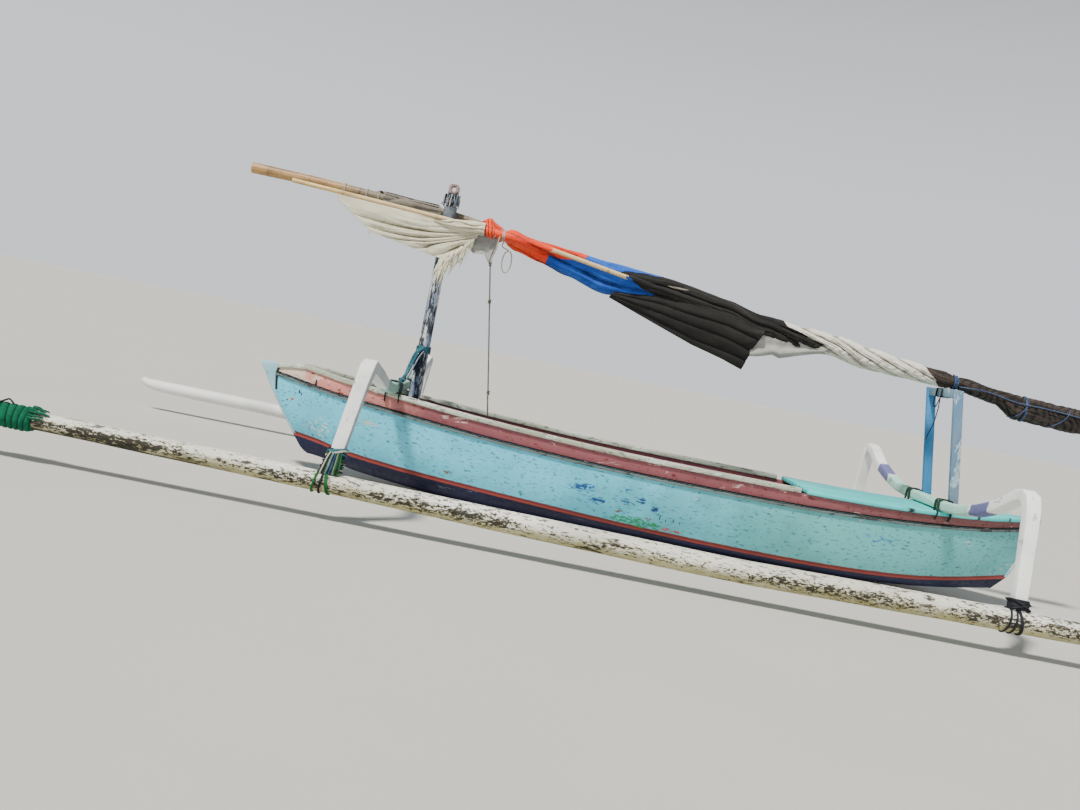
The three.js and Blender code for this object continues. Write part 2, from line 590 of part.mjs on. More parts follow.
function buildCrutch() {
  const { topX, topZ, footX, y, halfX, halfY, barHalfX, barHeight } = CRUTCH;
  const footZ = stationAtX(footX).topZ + CAP.height / 2; // inside the deck, which then trims the foot
  const lean = (z) => THREE.MathUtils.lerp(footX, topX, (z - footZ) / (topZ - footZ));
  const deck = toSolid(aftDeckGeometry(GAP));
  for (const side of SIDES) {
    const post = loft([footZ, topZ].map((z) => (
      [[-halfX, -halfY], [halfX, -halfY], [halfX, halfY], [-halfX, halfY]]
        .map(([dx, dy]) => new THREE.Vector3(lean(z) + dx, side.sign * y + dy, z)))));
    addMesh(`crutch_post_${side.name}`, toGeometry(toSolid(post).subtract(deck)), 'skyBlue');
  }
  const barZ = topZ - barHeight;
  const section = [[-barHalfX, barZ], [barHalfX, barZ], [barHalfX, topZ], [-barHalfX, topZ]];
  const bar = loft([-1, 1].map((k) => (
    section.map(([dx, z]) => new THREE.Vector3(lean(z) + dx, k * (y - halfY - GAP), z)))));
  addMesh('crutch_bar', bar, 'skyBlue');
}

// The sling's flat side stands off the strop by the running clearance
const SLING_RADIUS = SLING.yardRadius + SLING.thick;
const YARD_Y = mastRadius(STROP.low) + STROP.thick + RUNNING + SLING_RADIUS * Math.cos(Math.PI / YARD_SIDES);

function yardGeometry(grow = 0) {
  const points = YARD.map(([x, z, , share]) => new THREE.Vector3(x, YARD_Y * share, z));
  return loft(ringsAlong(points, YARD.map((row) => row[2]), YARD_SIDES, grow));
}

function sailBoomGeometry(grow = 0) {
  const points = SAIL_BOOM.map(([x, y, z]) => new THREE.Vector3(x, y, z));
  return loft(ringsAlong(points, points.map(() => SAIL_BOOM_RADIUS), 8, grow));
}

function bundleRing({ x, top, bottom, half }, shift = 0, grow = 0) {
  const sides = 12;
  const height = (top - bottom) / 2;
  return Array.from({ length: sides }, (_, k) => {
    const angle = (2 * Math.PI * (k + 0.5)) / sides;
    const z = (top + bottom) / 2 + (height + grow) * Math.cos(angle);
    return new THREE.Vector3(x + shift, (half + grow) * Math.sin(angle), z);
  });
}

function buildRig() {
  const { thick, low, high } = STROP;
  const outside = mastRadius(low) + thick;
  // the strop's flats clear the mast's corners, so that it turns
  const bore = (z) => (mastRadius(z) + GAP) / Math.cos(Math.PI / MAST.sides);
  const strop = [[bore(low), low], [outside, low], [outside, high], [bore(high), high], [bore(low), low]]
    .map(([r, z]) => new THREE.Vector2(r, z));
  const turns = new THREE.LatheGeometry(strop, MAST.sides).rotateX(Math.PI / 2).translate(MAST.x, 0, 0);
  addMesh('mast_strop', turns, 'rope');

  const yard = toSolid(yardGeometry(GAP));
  const sailBoom = toSolid(sailBoomGeometry(GAP));
  addMesh('yard', yardGeometry(), 'bamboo');
  addMesh('sail_boom', sailBoomGeometry(), 'straw');
  const slingPoints = [-SLING.length / 2, SLING.length / 2].map((dx) => (
    new THREE.Vector3(MAST.x + dx, YARD_Y, PIVOT_Z - dx * SLING.slope)));
  const sling = toSolid(loft(ringsAlong(slingPoints, [SLING_RADIUS, SLING_RADIUS], YARD_SIDES)));
  addMesh('yard_sling', toGeometry(sling.subtract(yard)), 'rope');

  const starts = BUNDLE.map((row, k) => (row.cloth ? k : -1)).filter((k) => k >= 0);
  let roll = null;
  starts.forEach((start, k) => {
    const end = k + 1 < starts.length ? starts[k + 1] : BUNDLE.length - 1;
    const rings = BUNDLE.slice(start, end + 1).map((row, i) => bundleRing(row, i === 0 ? GAP : 0));
    const solid = toSolid(loft(rings)).subtract(yard).subtract(sailBoom);
    const grown = toSolid(loft(BUNDLE.slice(start, end + 1).map((row) => bundleRing(row, 0, GAP))));
    roll = roll ? roll.add(grown) : grown;
    addMesh(SAIL_NODES[BUNDLE[start].cloth], toGeometry(solid), BUNDLE[start].cloth, 0.95);
  });

  const spine = BUNDLE.map(({ x, top, bottom }) => [x, (top + bottom) / 2]);
  const flapTop = FLAP.topX.map((x) => [x, along(spine, x)]);
  const flap = hangingCloth([...FLAP_EDGE, ...flapTop], FLAP);
  addMesh('sail_flap', toGeometry(toSolid(flap).subtract(roll).subtract(sailBoom)), 'charcoal', 0.95);

  const boomLine = SAIL_BOOM.map(([x, , z]) => [x, z]);
  const creamTop = CREAM.topX.map((x) => [x, along(boomLine, x)]);
  const cream = hangingCloth([...CREAM_EDGE, ...creamTop], CREAM);
  addMesh('sail_cream', toGeometry(toSolid(cream).subtract(roll).subtract(sailBoom)), 'cream', 0.95);
}

function hangingCloth(outline, { y, half }) {
  const shape = new THREE.Shape(outline.map(([x, z]) => new THREE.Vector2(x, z)));
  return new THREE.ExtrudeGeometry(shape, { depth: half * 2, bevelEnabled: false })
    .rotateX(Math.PI / 2).translate(0, y + half, 0);
}

buildLog();
buildTopsides();
buildEnds();
const hollow = inside(GAP, 0.5, 11.5, 200);
buildDecks(hollow);
buildInside(hollow);
buildMast();
buildArms();
buildFloats();
buildCrutch();
buildRig();

export default group;
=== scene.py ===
import math
import random
import bpy
import bmesh
from mathutils import Matrix, Vector, noise


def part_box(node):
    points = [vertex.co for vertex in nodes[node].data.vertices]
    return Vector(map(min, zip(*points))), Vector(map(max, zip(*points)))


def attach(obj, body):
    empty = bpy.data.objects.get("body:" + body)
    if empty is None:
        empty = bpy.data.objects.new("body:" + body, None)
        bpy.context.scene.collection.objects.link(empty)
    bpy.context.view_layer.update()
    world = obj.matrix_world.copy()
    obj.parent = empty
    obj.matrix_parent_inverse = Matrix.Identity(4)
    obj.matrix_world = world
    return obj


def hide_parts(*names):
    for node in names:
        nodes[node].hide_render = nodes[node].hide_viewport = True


# Double-outrigger canoe drawn up on the shore, sail furled on its yard.
# Metres, +X towards the stern, +Y to starboard, +Z up.
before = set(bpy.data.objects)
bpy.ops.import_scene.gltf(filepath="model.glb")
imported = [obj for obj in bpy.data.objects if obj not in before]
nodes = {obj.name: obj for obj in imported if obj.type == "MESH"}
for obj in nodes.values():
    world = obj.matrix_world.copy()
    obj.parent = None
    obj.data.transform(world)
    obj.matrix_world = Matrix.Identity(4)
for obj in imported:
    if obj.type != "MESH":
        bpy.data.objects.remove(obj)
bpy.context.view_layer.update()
print("canoe: frame loaded,", len(nodes), "nodes")

xAxis, yAxis, zAxis = Vector((1, 0, 0)), Vector((0, 1, 0)), Vector((0, 0, 1))
sides = {"port": -1, "starboard": 1}

# camera: the photo's place beside the port float; the shore slopes, so the camera leans with it
cameraView = {"place": (-0.363, -8.585, 1.372), "forward": (0.00465, 0.99849, -0.0548),
              "up": (-0.19455, 0.05466, 0.97937), "lens": 35.0, "sensor": 36.0, "reach": 400.0}
floorLook = {"half": 90.0, "tone": (188, 186, 180), "second": (168, 165, 158), "roughness": 0.75}
lightPlan = [
    # name, kind, place, aimed at, size (angle for a sun), strength, colour
    ("sun", "SUN", (-3.6, -4.6, 10.0), (0.0, 0.0, 0.9), 0.12, 6.3, (1.0, 0.97, 0.93)),
    ("fill", "AREA", (7.5, -8.5, 3.6), (1.0, 0.0, 0.8), 6.0, 120, (0.93, 0.96, 1.0)),
]
skyLook = {"tone": (230, 234, 238), "low": 1.15, "high": 0.4}


def linear(value):
    part = value / 255.0
    return part / 12.92 if part <= 0.04045 else ((part + 0.055) / 1.055) ** 2.4


def tint(colour):
    return tuple(linear(c) for c in colour) + (1.0,)


def addObject(name, data):
    added = bpy.data.objects.new(name, data)
    bpy.context.scene.collection.objects.link(added)
    return added


def makeCamera():
    data = bpy.data.cameras.new("shoreCamera")
    data.lens = cameraView["lens"]
    data.sensor_width = cameraView["sensor"]
    data.clip_end = cameraView["reach"]
    camera = addObject("shoreCamera", data)
    forward = Vector(cameraView["forward"]).normalized()
    right = forward.cross(Vector(cameraView["up"])).normalized()
    turn = Matrix((right, right.cross(forward), -forward)).transposed().to_4x4()
    camera.matrix_world = Matrix.Translation(cameraView["place"]) @ turn
    bpy.context.scene.camera = camera


def makeLights():
    for name, kind, place, aim, size, strength, colour in lightPlan:
        data = bpy.data.lights.new(name, kind)
        if kind == "SUN":
            data.angle = size
        else:
            data.shape = "DISK"
            data.size = size
        data.energy = strength
        data.color = colour
        lamp = addObject(name, data)
        lamp.location = place
        lamp.rotation_euler = (Vector(aim) - Vector(place)).to_track_quat("-Z", "Y").to_euler()
    # pale round the horizon, softer overhead
    world = bpy.data.worlds.new("softSky")
    world.use_nodes = True
    tree = world.node_tree
    sky = tree.nodes["Background"]
    sky.inputs["Color"].default_value = tint(skyLook["tone"])
    height = put(tree, "ShaderNodeTexCoord", {}, "Generated").axis(2)
    tree.links.new(height.eased(0.15, 0.6, skyLook["low"], skyLook["high"]).socket, sky.inputs["Strength"])
    bpy.context.scene.world = world


# finishes: node outputs with their own arithmetic, then one function for each kind of surface
class Field:
    def __init__(self, socket):
        self.socket = socket
        self.tree = socket.id_data

    def join(self, operation, other=0.0):
        return put(self.tree, "ShaderNodeMath", {0: self, 1: other}, operation=operation)

    def __add__(self, other):
        return self.join("ADD", other)

    def __sub__(self, other):
        return self.join("SUBTRACT", other)

    def __mul__(self, other):
        return self.join("MULTIPLY", other)

    def __truediv__(self, other):
        return self.join("DIVIDE", other)

    def axis(self, index):
        return put(self.tree, "ShaderNodeSeparateXYZ", {0: self}, index)

    def scaled(self, scale, turn=(0, 0, 0)):
        return put(self.tree, "ShaderNodeMapping", {"Vector": self, "Scale": scale, "Rotation": turn})

    def speckle(self, scale, detail=4.0, rough=0.55, warp=0.0):
        return put(self.tree, "ShaderNodeTexNoise", {"Vector": self, "Scale": scale, "Detail": detail,
                                                     "Roughness": rough, "Distortion": warp})

    def eased(self, low, high, start=0.0, end=1.0):
        return put(self.tree, "ShaderNodeMapRange", {0: self, 1: low, 2: high, 3: start, 4: end},
                   interpolation_type="SMOOTHSTEP")

    def band(self, low, high, soft=0.003):
        return self.eased(low - soft, low + soft) * self.eased(high - soft, high + soft, 1.0, 0.0)

    def mix(self, first, second, mode="MIX"):
        # a colour from two, this field being the share of the second
        first, second = (tone if isinstance(tone, Field) else tint(tone) for tone in (first, second))
        return put(self.tree, "ShaderNodeMix", {0: self, 6: first, 7: second}, 2, data_type="RGBA",
                   blend_type=mode)

    def bump(self, strength, distance, under=None):
        inputs = {"Height": self, "Strength": strength, "Distance": distance}
        if under:
            inputs["Normal"] = under
        return put(self.tree, "ShaderNodeBump", inputs)


def put(tree, kind, inputs, output=0, **settings):
    node = tree.nodes.new(kind)
    for key, value in settings.items():
        setattr(node, key, value)
    for key, value in inputs.items():
        if isinstance(value, Field):
            tree.links.new(value.socket, node.inputs[key])
        else:
            node.inputs[key].default_value = value
    return Field(node.outputs[output])


def startFinish(name, roughness=0.7, specular=0.35):
    # a new material, and the field of places on the piece
    finish = bpy.data.materials.new(name)
    finish.use_nodes = True
    shader = finish.node_tree.nodes["Principled BSDF"]
    shader.inputs["Roughness"].default_value = roughness
    shader.inputs["Specular IOR Level"].default_value = specular
    return finish, put(finish.node_tree, "ShaderNodeTexCoord", {}, "Object")


def coordinate(tree, name):
    return put(tree, "ShaderNodeTexCoord", {}, name)


def clothPlace(tree):
    return put(tree, "ShaderNodeUVMap", {}, "UV", uv_map="UVMap")


def attribute(tree, name):
    return put(tree, "ShaderNodeAttribute", {}, "Fac", attribute_name=name)


def dress(finish, colour, normal=None, rough=None):
    tree = finish.node_tree
    for key, field in (("Base Color", colour), ("Normal", normal), ("Roughness", rough)):
        if field:
            tree.links.new(field.socket, tree.nodes["Principled BSDF"].inputs[key])
    return finish


def colourOf(finish):
    return Field(finish.node_tree.nodes["Principled BSDF"].inputs["Base Color"].links[0].from_socket)


def brushed(place, colour, patches):
    # broken patches of another tone on the port side: old paint, rust and other marks on the hull, and the
    # marks on the charcoal cloth
    alongX, alongY, alongZ = (place.axis(k) for k in range(3))
    edge = (place.scaled((0.42, 1, 1)).speckle(52, 8, 0.74, 0.3) - 0.5) * 2.0 + 0.5
    onSide = (alongY * -1).eased(0.0, 0.02)
    for x, z, halfX, halfZ, cover, tone in patches:
        along, up = (alongX - x) / halfX, (alongZ - z) / halfZ
        spot = (edge + (along * along + up * up).eased(0.0, 1.0, cover, 0.0)).eased(0.86, 0.92)
        colour = (spot * onSide).mix(colour, tone)
    return colour


paintBase = {
    "roughness": 0.55, "roughBare": 0.86, "grain": (0.12, 1, 1), "long": (0.35, 1, 1), "toneScale": 3.0,
    "fades": (), "fleckScale": 55.0, "fleckFrom": 0.6, "fleckCover": 0.7, "chipScale": 11.0, "chipFrom": 0.62,
    "chipCover": 0.85, "bareCover": 0.8, "coatThick": 0.0009, "grainScale": 70.0, "seamCover": 0.3,
    "seam": (60, 55, 50), "boards": 0.0, "joint": (44, 40, 36), "dirtCover": 0.25, "dirt": (96, 88, 76),
}


def coats(coat, second, under, bare, fleck, **more):
    # the coat and a second tone of it, the coat under them, bare wood, flecks, and what isn't as in the base
    return {**paintBase, "coat": coat, "second": second, "under": under, "bare": bare, "fleck": fleck, **more}


def wornPaint(name, look, bands=(), patches=()):
    # coat and second coat, flecks, chips down to an older coat and to bare wood, grain and dirt
    finish, place = startFinish(name)
    long = place.scaled(look["long"])
    colour = long.speckle(look["toneScale"], 3).eased(0.38, 0.62).mix(look["coat"], look["second"])
    for fadeFrom, fadeTo, tone in look["fades"]:  # the coat turns to another tone along the hull
        along = place.axis(0) + place.speckle(9, 5, 0.65).eased(0.3, 0.7, -0.12, 0.12)
        colour = along.eased(fadeFrom, fadeTo).mix(colour, tone)
    fine = long.speckle(look["fleckScale"], 5, 0.7)
    flecks = fine.eased(look["fleckFrom"], look["fleckFrom"] + 0.05) * look["fleckCover"]
    colour = flecks.mix(colour, look["fleck"])
    for layerName, low, high, tone in bands:
        ragged = attribute(place.tree, layerName) + fine.eased(0.2, 0.8, -0.003, 0.003)
        colour = ragged.band(low, high, 0.002).mix(colour, tone)
    if patches:
        colour = brushed(place, colour, patches)
    wear = long.speckle(look["chipScale"], 9, 0.68, 0.4)
    chipFrom = look["chipFrom"]
    chips = wear.eased(chipFrom, chipFrom + 0.02)
    bare = wear.eased(chipFrom + 0.045, chipFrom + 0.065)
    colour = (chips * look["chipCover"]).mix(colour, look["under"])
    colour = (bare * look["bareCover"]).mix(colour, look["bare"])
    lines = place.scaled(look["grain"]).speckle(look["grainScale"], 5, 0.65)
    colour = lines.eased(0.64, 0.7, 0.0, look["seamCover"]).mix(colour, look["seam"])
    if look["boards"]:  # dark joints between the boards
        joint = (place.axis(1) / look["boards"]).join("FRACT").band(0.47, 0.53, 0.02)
        colour = joint.mix(colour, look["joint"])
    dirt = place.speckle(1.7, 5, 0.6).eased(0.42, 0.72, 0.0, look["dirtCover"])
    colour = dirt.mix(colour, look["dirt"], "MULTIPLY")
    rough = chips.join("MAXIMUM", fine.eased(0.3, 0.8)).eased(0.0, 1.0, look["roughness"], look["roughBare"])
    coatEdge = wear.eased(chipFrom - 0.01, chipFrom + 0.03, 1.0, 0.0)
    return dress(finish, colour, coatEdge.bump(0.6, look["coatThick"], lines.bump(0.35, 0.0012)), rough)


ropeLay = {"strand": 0.011, "slant": 2.0}


def ropeFinish(name, main, second, dark):
    # laid rope: strands cross the tube at a slant, fibres on each, faded and dirty in places, with painted
    # shade in the grooves between the strands
    finish, place = startFinish(name, 0.85, 0.2)
    uv = clothPlace(place.tree)
    turn = uv.axis(0) / ropeLay["strand"] + uv.axis(1) * ropeLay["slant"]
    strands = (turn * math.pi).join("SINE").join("ABSOLUTE")
    fibre = place.speckle(420, 3)
    colour = place.speckle(17, 4).eased(0.4, 0.6).mix(main, second)
    # painted shade in the grooves between the strands
    colour = strands.eased(0.0, 0.5, 0.75, 0.0).mix(colour, dark)
    colour = fibre.eased(0.45, 0.7, 0.0, 0.35).mix(colour, second)
    return dress(finish, colour, fibre.bump(0.3, 0.0004, strands.bump(0.8, 0.0014)))


def bambooFinish(name, look):
    # tan canes: long streaks, darker at the nodes, grey weathering towards the stern
    finish, place = startFinish(name, 0.5, 0.4)
    streaks = place.scaled((0.05, 1, 1)).speckle(60, 6, 0.7)
    blotch = place.scaled((0.4, 1, 1)).speckle(7, 6, 0.65)
    colour = streaks.eased(0.35, 0.66).mix(look["pale"], look["deep"])
    colour = blotch.eased(0.5, 0.64, 0.0, 0.6).mix(colour, look["stain"])
    colour = place.axis(0).eased(*look["greyAlong"], 0.0, look["greyCover"]).mix(colour, look["grey"])
    colour = attribute(place.tree, "nodeRing").eased(0.15, 0.9, 0.0, 0.75).mix(colour, look["node"])
    return dress(finish, colour, streaks.bump(0.4, 0.0008))


clothWeave = {"sheen": 0.12, "seamGap": 0.16, "seamCover": 0.35, "stitches": 520.0, "threads": 2900.0}


def clothFinish(name, main, second, soil, thread, deep, marks=()):
    # woven sailcloth: thread bump, seam lines along the cloth, faded and soiled areas, and painted shade down
    # in the folds
    finish, place = startFinish(name, 0.8, 0.25)
    finish.node_tree.nodes["Principled BSDF"].inputs["Sheen Weight"].default_value = clothWeave["sheen"]
    uv = clothPlace(place.tree)
    along, across = uv.axis(0), uv.axis(1)
    colour = place.scaled((0.5, 1, 1)).speckle(5.0, 6, 0.6).eased(0.36, 0.66).mix(main, second)
    soiled = place.scaled((0.7, 1, 1)).speckle(13, 7, 0.68)
    colour = soiled.eased(0.56, 0.7, 0.0, 0.45).mix(colour, soil)
    # painted shade: the deep tone is multiplied in down in the folds
    folds = attribute(place.tree, "hollowShade") + soiled.eased(0.3, 0.7, -0.12, 0.12)
    colour = folds.eased(0.18, 0.8, 0.0, 0.9).mix(colour, deep, "MULTIPLY")
    if marks:
        colour = brushed(place, colour, marks)
    seam = (across / clothWeave["seamGap"]).join("FRACT").band(0.46, 0.5, 0.012) * clothWeave["seamCover"]
    stitch = (along * clothWeave["stitches"]).join("SINE").eased(-0.4, 0.2)
    colour = (seam * stitch).mix(colour, thread)
    weave = (along * clothWeave["threads"]).join("SINE") * (across * clothWeave["threads"]).join("SINE")
    crease = uv.scaled((1.2, 6, 1)).speckle(9.0, 6, 0.62, 0.6)
    return dress(finish, colour, weave.bump(0.25, 0.0005, crease.bump(0.55, 0.012)))


# mesh helpers
def finishPiece(name, bm, body, look, replaced=(), sharpAngle=None):
    mesh = bpy.data.meshes.new(name)
    bm.to_mesh(mesh)
    bm.free()
    mesh.materials.append(look)
    mesh.shade_smooth()
    if sharpAngle:
        mesh.set_sharp_from_angle(angle=math.radians(sharpAngle))
    piece = addObject(name, mesh)
    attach(piece, body)
    if replaced:
        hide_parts(*replaced)
    return piece


def finishRopes(name, made, body="root"):
    # one piece for each colour of rope; its colour stands where the name has a star
    for colour, bm in made.items():
        if bm.verts:
            finishPiece(name.replace("*", colour), bm, body, ropes[colour])


def meshesFor(colours):
    return {colour: bmesh.new() for colour in colours}


def waves(*place):
    return noise.noise(Vector(place))


def outward(angle):
    # across a spar at an angle, 0 at the top and growing towards port
    return Vector((0.0, -math.sin(angle), math.cos(angle)))


def shapedGrid(alongCount, acrossCount, pointAt, size, bm=None, hollowAt=None):
    # a grid whose points are moved on to a surface; its UV map is in metres of cloth or rope, and
    # its fold layer is 1 down in the folds, where shade is painted into the cloth
    target = bm or bmesh.new()
    layer = target.verts.layers.float.new("hollowShade") if hollowAt else None
    uv = target.loops.layers.uv.verify()
    made = bmesh.ops.create_grid(target, x_segments=alongCount, y_segments=acrossCount, size=0.5,
                                 calc_uvs=False)["verts"]
    shares = {vert: (vert.co.x + 0.5, vert.co.y + 0.5) for vert in made}
    for face in {face for vert in made for face in vert.link_faces}:
        for loop in face.loops:
            u, v = shares[loop.vert]
            loop[uv].uv = (u * size[0], v * size[1])
    for vert, (u, v) in shares.items():
        vert.co = pointAt(u, v)
        if hollowAt:
            vert[layer] = hollowAt(u, v)
    return target


def tableAt(table, x):
    for (x0, y0), (x1, y1) in zip(table, table[1:]):
        if x <= x1:
            f = max(0.0, (x - x0) / (x1 - x0))
            return y0 + (y1 - y0) * f
    return table[-1][1]


def smoothLine(points, steps=6):
    # curve through given points
    points = [Vector(p) for p in points]
    path = []
    for k in range(len(points) - 1):
        a, b, c, d = (points[min(max(k + j, 0), len(points) - 1)] for j in (-1, 0, 1, 2))
        for step in range(steps):
            f = step / steps
            path.append(b + 0.5 * f * (c - a + f * (2 * a - 5 * b + 4 * c - d + f * (3 * (b - c) + d - a))))
    return path + [points[-1]]


def carriedFrames(path):
    # two directions across the path at each point, carried along without twisting
    frames = []
    side = None
    for k in range(len(path)):
        heading = (path[min(k + 1, len(path) - 1)] - path[max(k - 1, 0)]).normalized()
        if side is None:
            side = heading.orthogonal()
        side = (side - heading * side.dot(heading)).normalized()
        frames.append((side, heading.cross(side)))
    return frames


def tube(path, thick, bm=None, around=8):
    # closed round bar along a path; thick is a radius, or takes the share of the length and the angle
    frames = carriedFrames(path)
    rows = len(path) - 1

    def pointAt(u, v):
        k = round(u * rows)
        angle = 2 * math.pi * v
        radius = thick(u, angle) if callable(thick) else thick
        return path[k] + frames[k][0] * radius * math.cos(angle) + frames[k][1] * radius * math.sin(angle)

    target = bm or bmesh.new()
    before = set(target.verts)
    length = sum((b - a).length for a, b in zip(path, path[1:]))
    shapedGrid(rows, around, pointAt, (length, 1.0), target)
    fresh = [vert for vert in target.verts if vert not in before]
    bmesh.ops.remove_doubles(target, verts=fresh, dist=1e-6)
    fresh = {vert for vert in target.verts if vert not in before}
    rims = [edge for edge in target.edges if edge.is_boundary and edge.verts[0] in fresh]
    bmesh.ops.holes_fill(target, edges=rims, sides=0)
    faces = list({face for vert in fresh for face in vert.link_faces})
    bmesh.ops.recalc_face_normals(target, faces=faces)
    return target


def turnsPath(centreAt, first, second, halfFirst, halfSecond, turns, steps, square=2.0, start=0.0):
    # rope turns round a bar: square 2 is round, higher is a box with rounded corners
    path = []
    total = int(turns * steps)
    for k in range(total + 1):
        centre = centreAt(k / total) if callable(centreAt) else centreAt
        angle = start + 2 * math.pi * k / steps
        c, s = math.cos(angle), math.sin(angle)
        reach = (abs(c) ** square + abs(s) ** square) ** (-1.0 / square)
        path.append(centre + first * halfFirst * reach * c + second * halfSecond * reach * s)
    return path


def roundEdges(bm, sharp, offset, segments=2, clamp=False):
    edges = [e for e in bm.edges if len(e.link_faces) == 2 and e.calc_face_angle(0.0) > math.radians(sharp)]
    bmesh.ops.bevel(bm, geom=edges, offset=offset, offset_type="OFFSET", segments=segments, profile=0.5,
                    affect="EDGES", material=-1, clamp_overlap=clamp)


def refinedNode(nodeName, look, bevel=0.003, sharp=28, lines=()):
    # a copy of a CAD node with its triangles joined and its edges rounded
    bm = bmesh.new()
    bm.from_mesh(nodes[nodeName].data)
    bmesh.ops.remove_doubles(bm, verts=bm.verts, dist=2e-5)
    bmesh.ops.dissolve_limit(bm, angle_limit=math.radians(0.4), verts=bm.verts, edges=bm.edges)
    roundEdges(bm, sharp, bevel, 2, True)
    bmesh.ops.triangulate(bm, faces=bm.faces)
    for layerName, height in lines:
        layer = bm.verts.layers.float.new(layerName)
        for vert in bm.verts:
            vert[layer] = height(vert.co)
    finishPiece(nodeName + "_worn", bm, "root", look, (nodeName,), sharp + 8)


def boxOf(nodeName):
    low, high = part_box(nodeName)
    return Vector(low), Vector(high)


def facePoints(nodeName, wanted):
    mesh = nodes[nodeName].data
    return [mesh.vertices[k].co for face in mesh.polygons if wanted(face) for k in face.vertices]


def edgeLine(nodeName, up):
    # height of a plank's top (up 1) or bottom (up -1) edge along the hull, from its own faces
    points = facePoints(nodeName, lambda face: face.normal.z * up > 0.9)
    table = sorted({round(point.x, 4): point.z for point in points}.items())
    return lambda x: tableAt(table, x)


def foreEdge(nodeNames):
    # x of the planks' foremost edge against height, from their end faces
    found = {}
    for nodeName in nodeNames:
        for point in facePoints(nodeName, lambda face: face.normal.x < -0.6 and face.center.x < -2.0):
            height = round(point.z, 3)
            found[height] = min(point.x, found.get(height, point.x))
    table = sorted(found.items())
    return lambda z: tableAt(table, z)


def barRows(nodeName, apart):
    # centre and radius of each ring of a CAD bar that runs along x
    points = sorted({tuple(round(c, 5) for c in v.co) for v in nodes[nodeName].data.vertices})
    rows = [[points[0]]]
    for point in points[1:]:
        if point[0] - rows[-1][-1][0] > apart:
            rows.append([])
        rows[-1].append(point)
    bars = []
    for row in rows:
        centre = sum((Vector(p) for p in row), Vector()) / len(row)
        bars.append((centre, max((Vector(p) - centre).length for p in row)))
    return bars


def atLength(rows, x):
    # centre and radius of a bar at one place along it
    if x <= rows[0][0].x:
        return rows[0]
    for (a, ra), (b, rb) in zip(rows, rows[1:]):
        if x <= b.x:
            f = (x - a.x) / (b.x - a.x)
            return a.lerp(b, f), ra + (rb - ra) * f
    return rows[-1]


makeCamera()
makeLights()
floorFinish, floorPlace = startFinish("paleFloor", floorLook["roughness"], 0.2)
floorShare = floorPlace.speckle(0.6, 4).eased(0.3, 0.7, 0.0, 0.12)
dress(floorFinish, floorShare.mix(floorLook["tone"], floorLook["second"]))
floorMesh = bmesh.new()
bmesh.ops.create_grid(floorMesh, x_segments=2, y_segments=2, size=floorLook["half"])
floorData = bpy.data.meshes.new("shoreFloor")
floorMesh.to_mesh(floorData)
floorMesh.free()
floorData.materials.append(floorFinish)
addObject("shoreFloor", floorData)
print("canoe: camera, lights and floor")

# hull: what the stripes follow, then the paints
waterline = edgeLine("side_plank_port", -1)
sheer = edgeLine("side_plank_port", 1)
stemLine = foreEdge(["side_plank_port", "washstrake_port"])
stemBend = 0.6  # the dark band runs along the upright edge above this height
stripe = {"red": (122, 50, 48), "height": 0.019}
hullPaints = {
    "navy": coats((15, 19, 50), (22, 27, 60), (84, 90, 104), (92, 84, 76), (60, 70, 110), chipFrom=0.66,
                  fleckFrom=0.66, roughness=0.5, seamCover=0.2),
    "blue": coats((108, 210, 236), (96, 200, 226), (196, 204, 196), (132, 120, 104), (44, 92, 112),
                  fades=[(-0.2, 2.2, (104, 186, 186))], fleckFrom=0.575, fleckCover=0.8, fleckScale=62,
                  chipFrom=0.65, chipScale=9, dirtCover=0.3),
    # dull grey-teal: partly the strake's own paint, partly painted shade
    "strake": coats((104, 122, 120), (92, 106, 106), (46, 46, 44), (70, 64, 58), (40, 40, 38), chipFrom=0.56,
                    fleckFrom=0.58),
    "mauve": coats((150, 84, 88), (134, 72, 80), (196, 138, 130), (96, 60, 56), (80, 34, 36),
                   fades=[(1.6, 3.0, (122, 76, 76))]),
    "mauvePort": coats((214, 200, 182), (206, 182, 166), (222, 196, 184), (120, 56, 48), (104, 34, 32),
                       fleckFrom=0.585, fleckCover=0.8, chipFrom=0.6,
                       fades=[(-2.26, -2.1, (204, 134, 124)), (-1.75, -1.1, (142, 82, 88)),
                              (1.6, 3.0, (124, 78, 78))]),
    "cap": coats((192, 200, 184), (162, 166, 148), (216, 226, 212), (66, 58, 50), (66, 60, 52),
                 fleckFrom=0.56, chipFrom=0.56, seamCover=0.7, grainScale=55, roughness=0.7),
    "turquoise": coats((60, 190, 190), (76, 204, 200), (150, 214, 206), (120, 110, 92), (30, 130, 134),
                       fleckFrom=0.64, chipFrom=0.68, boards=0.115),
    "post": coats((138, 192, 208), (160, 204, 214), (214, 218, 210), (120, 108, 96), (52, 70, 86),
                  fleckFrom=0.63, chipFrom=0.58),
    "deckGrey": coats((150, 142, 126), (128, 120, 106), (184, 176, 156), (84, 76, 66), (60, 54, 48),
                      fleckFrom=0.58, seamCover=0.6, grainScale=50, roughness=0.8, boards=0.09),
    "innerWood": coats((128, 112, 92), (106, 90, 72), (150, 146, 130), (70, 60, 50), (58, 48, 40),
                       seamCover=0.6, roughness=0.82, dirtCover=0.5),
}
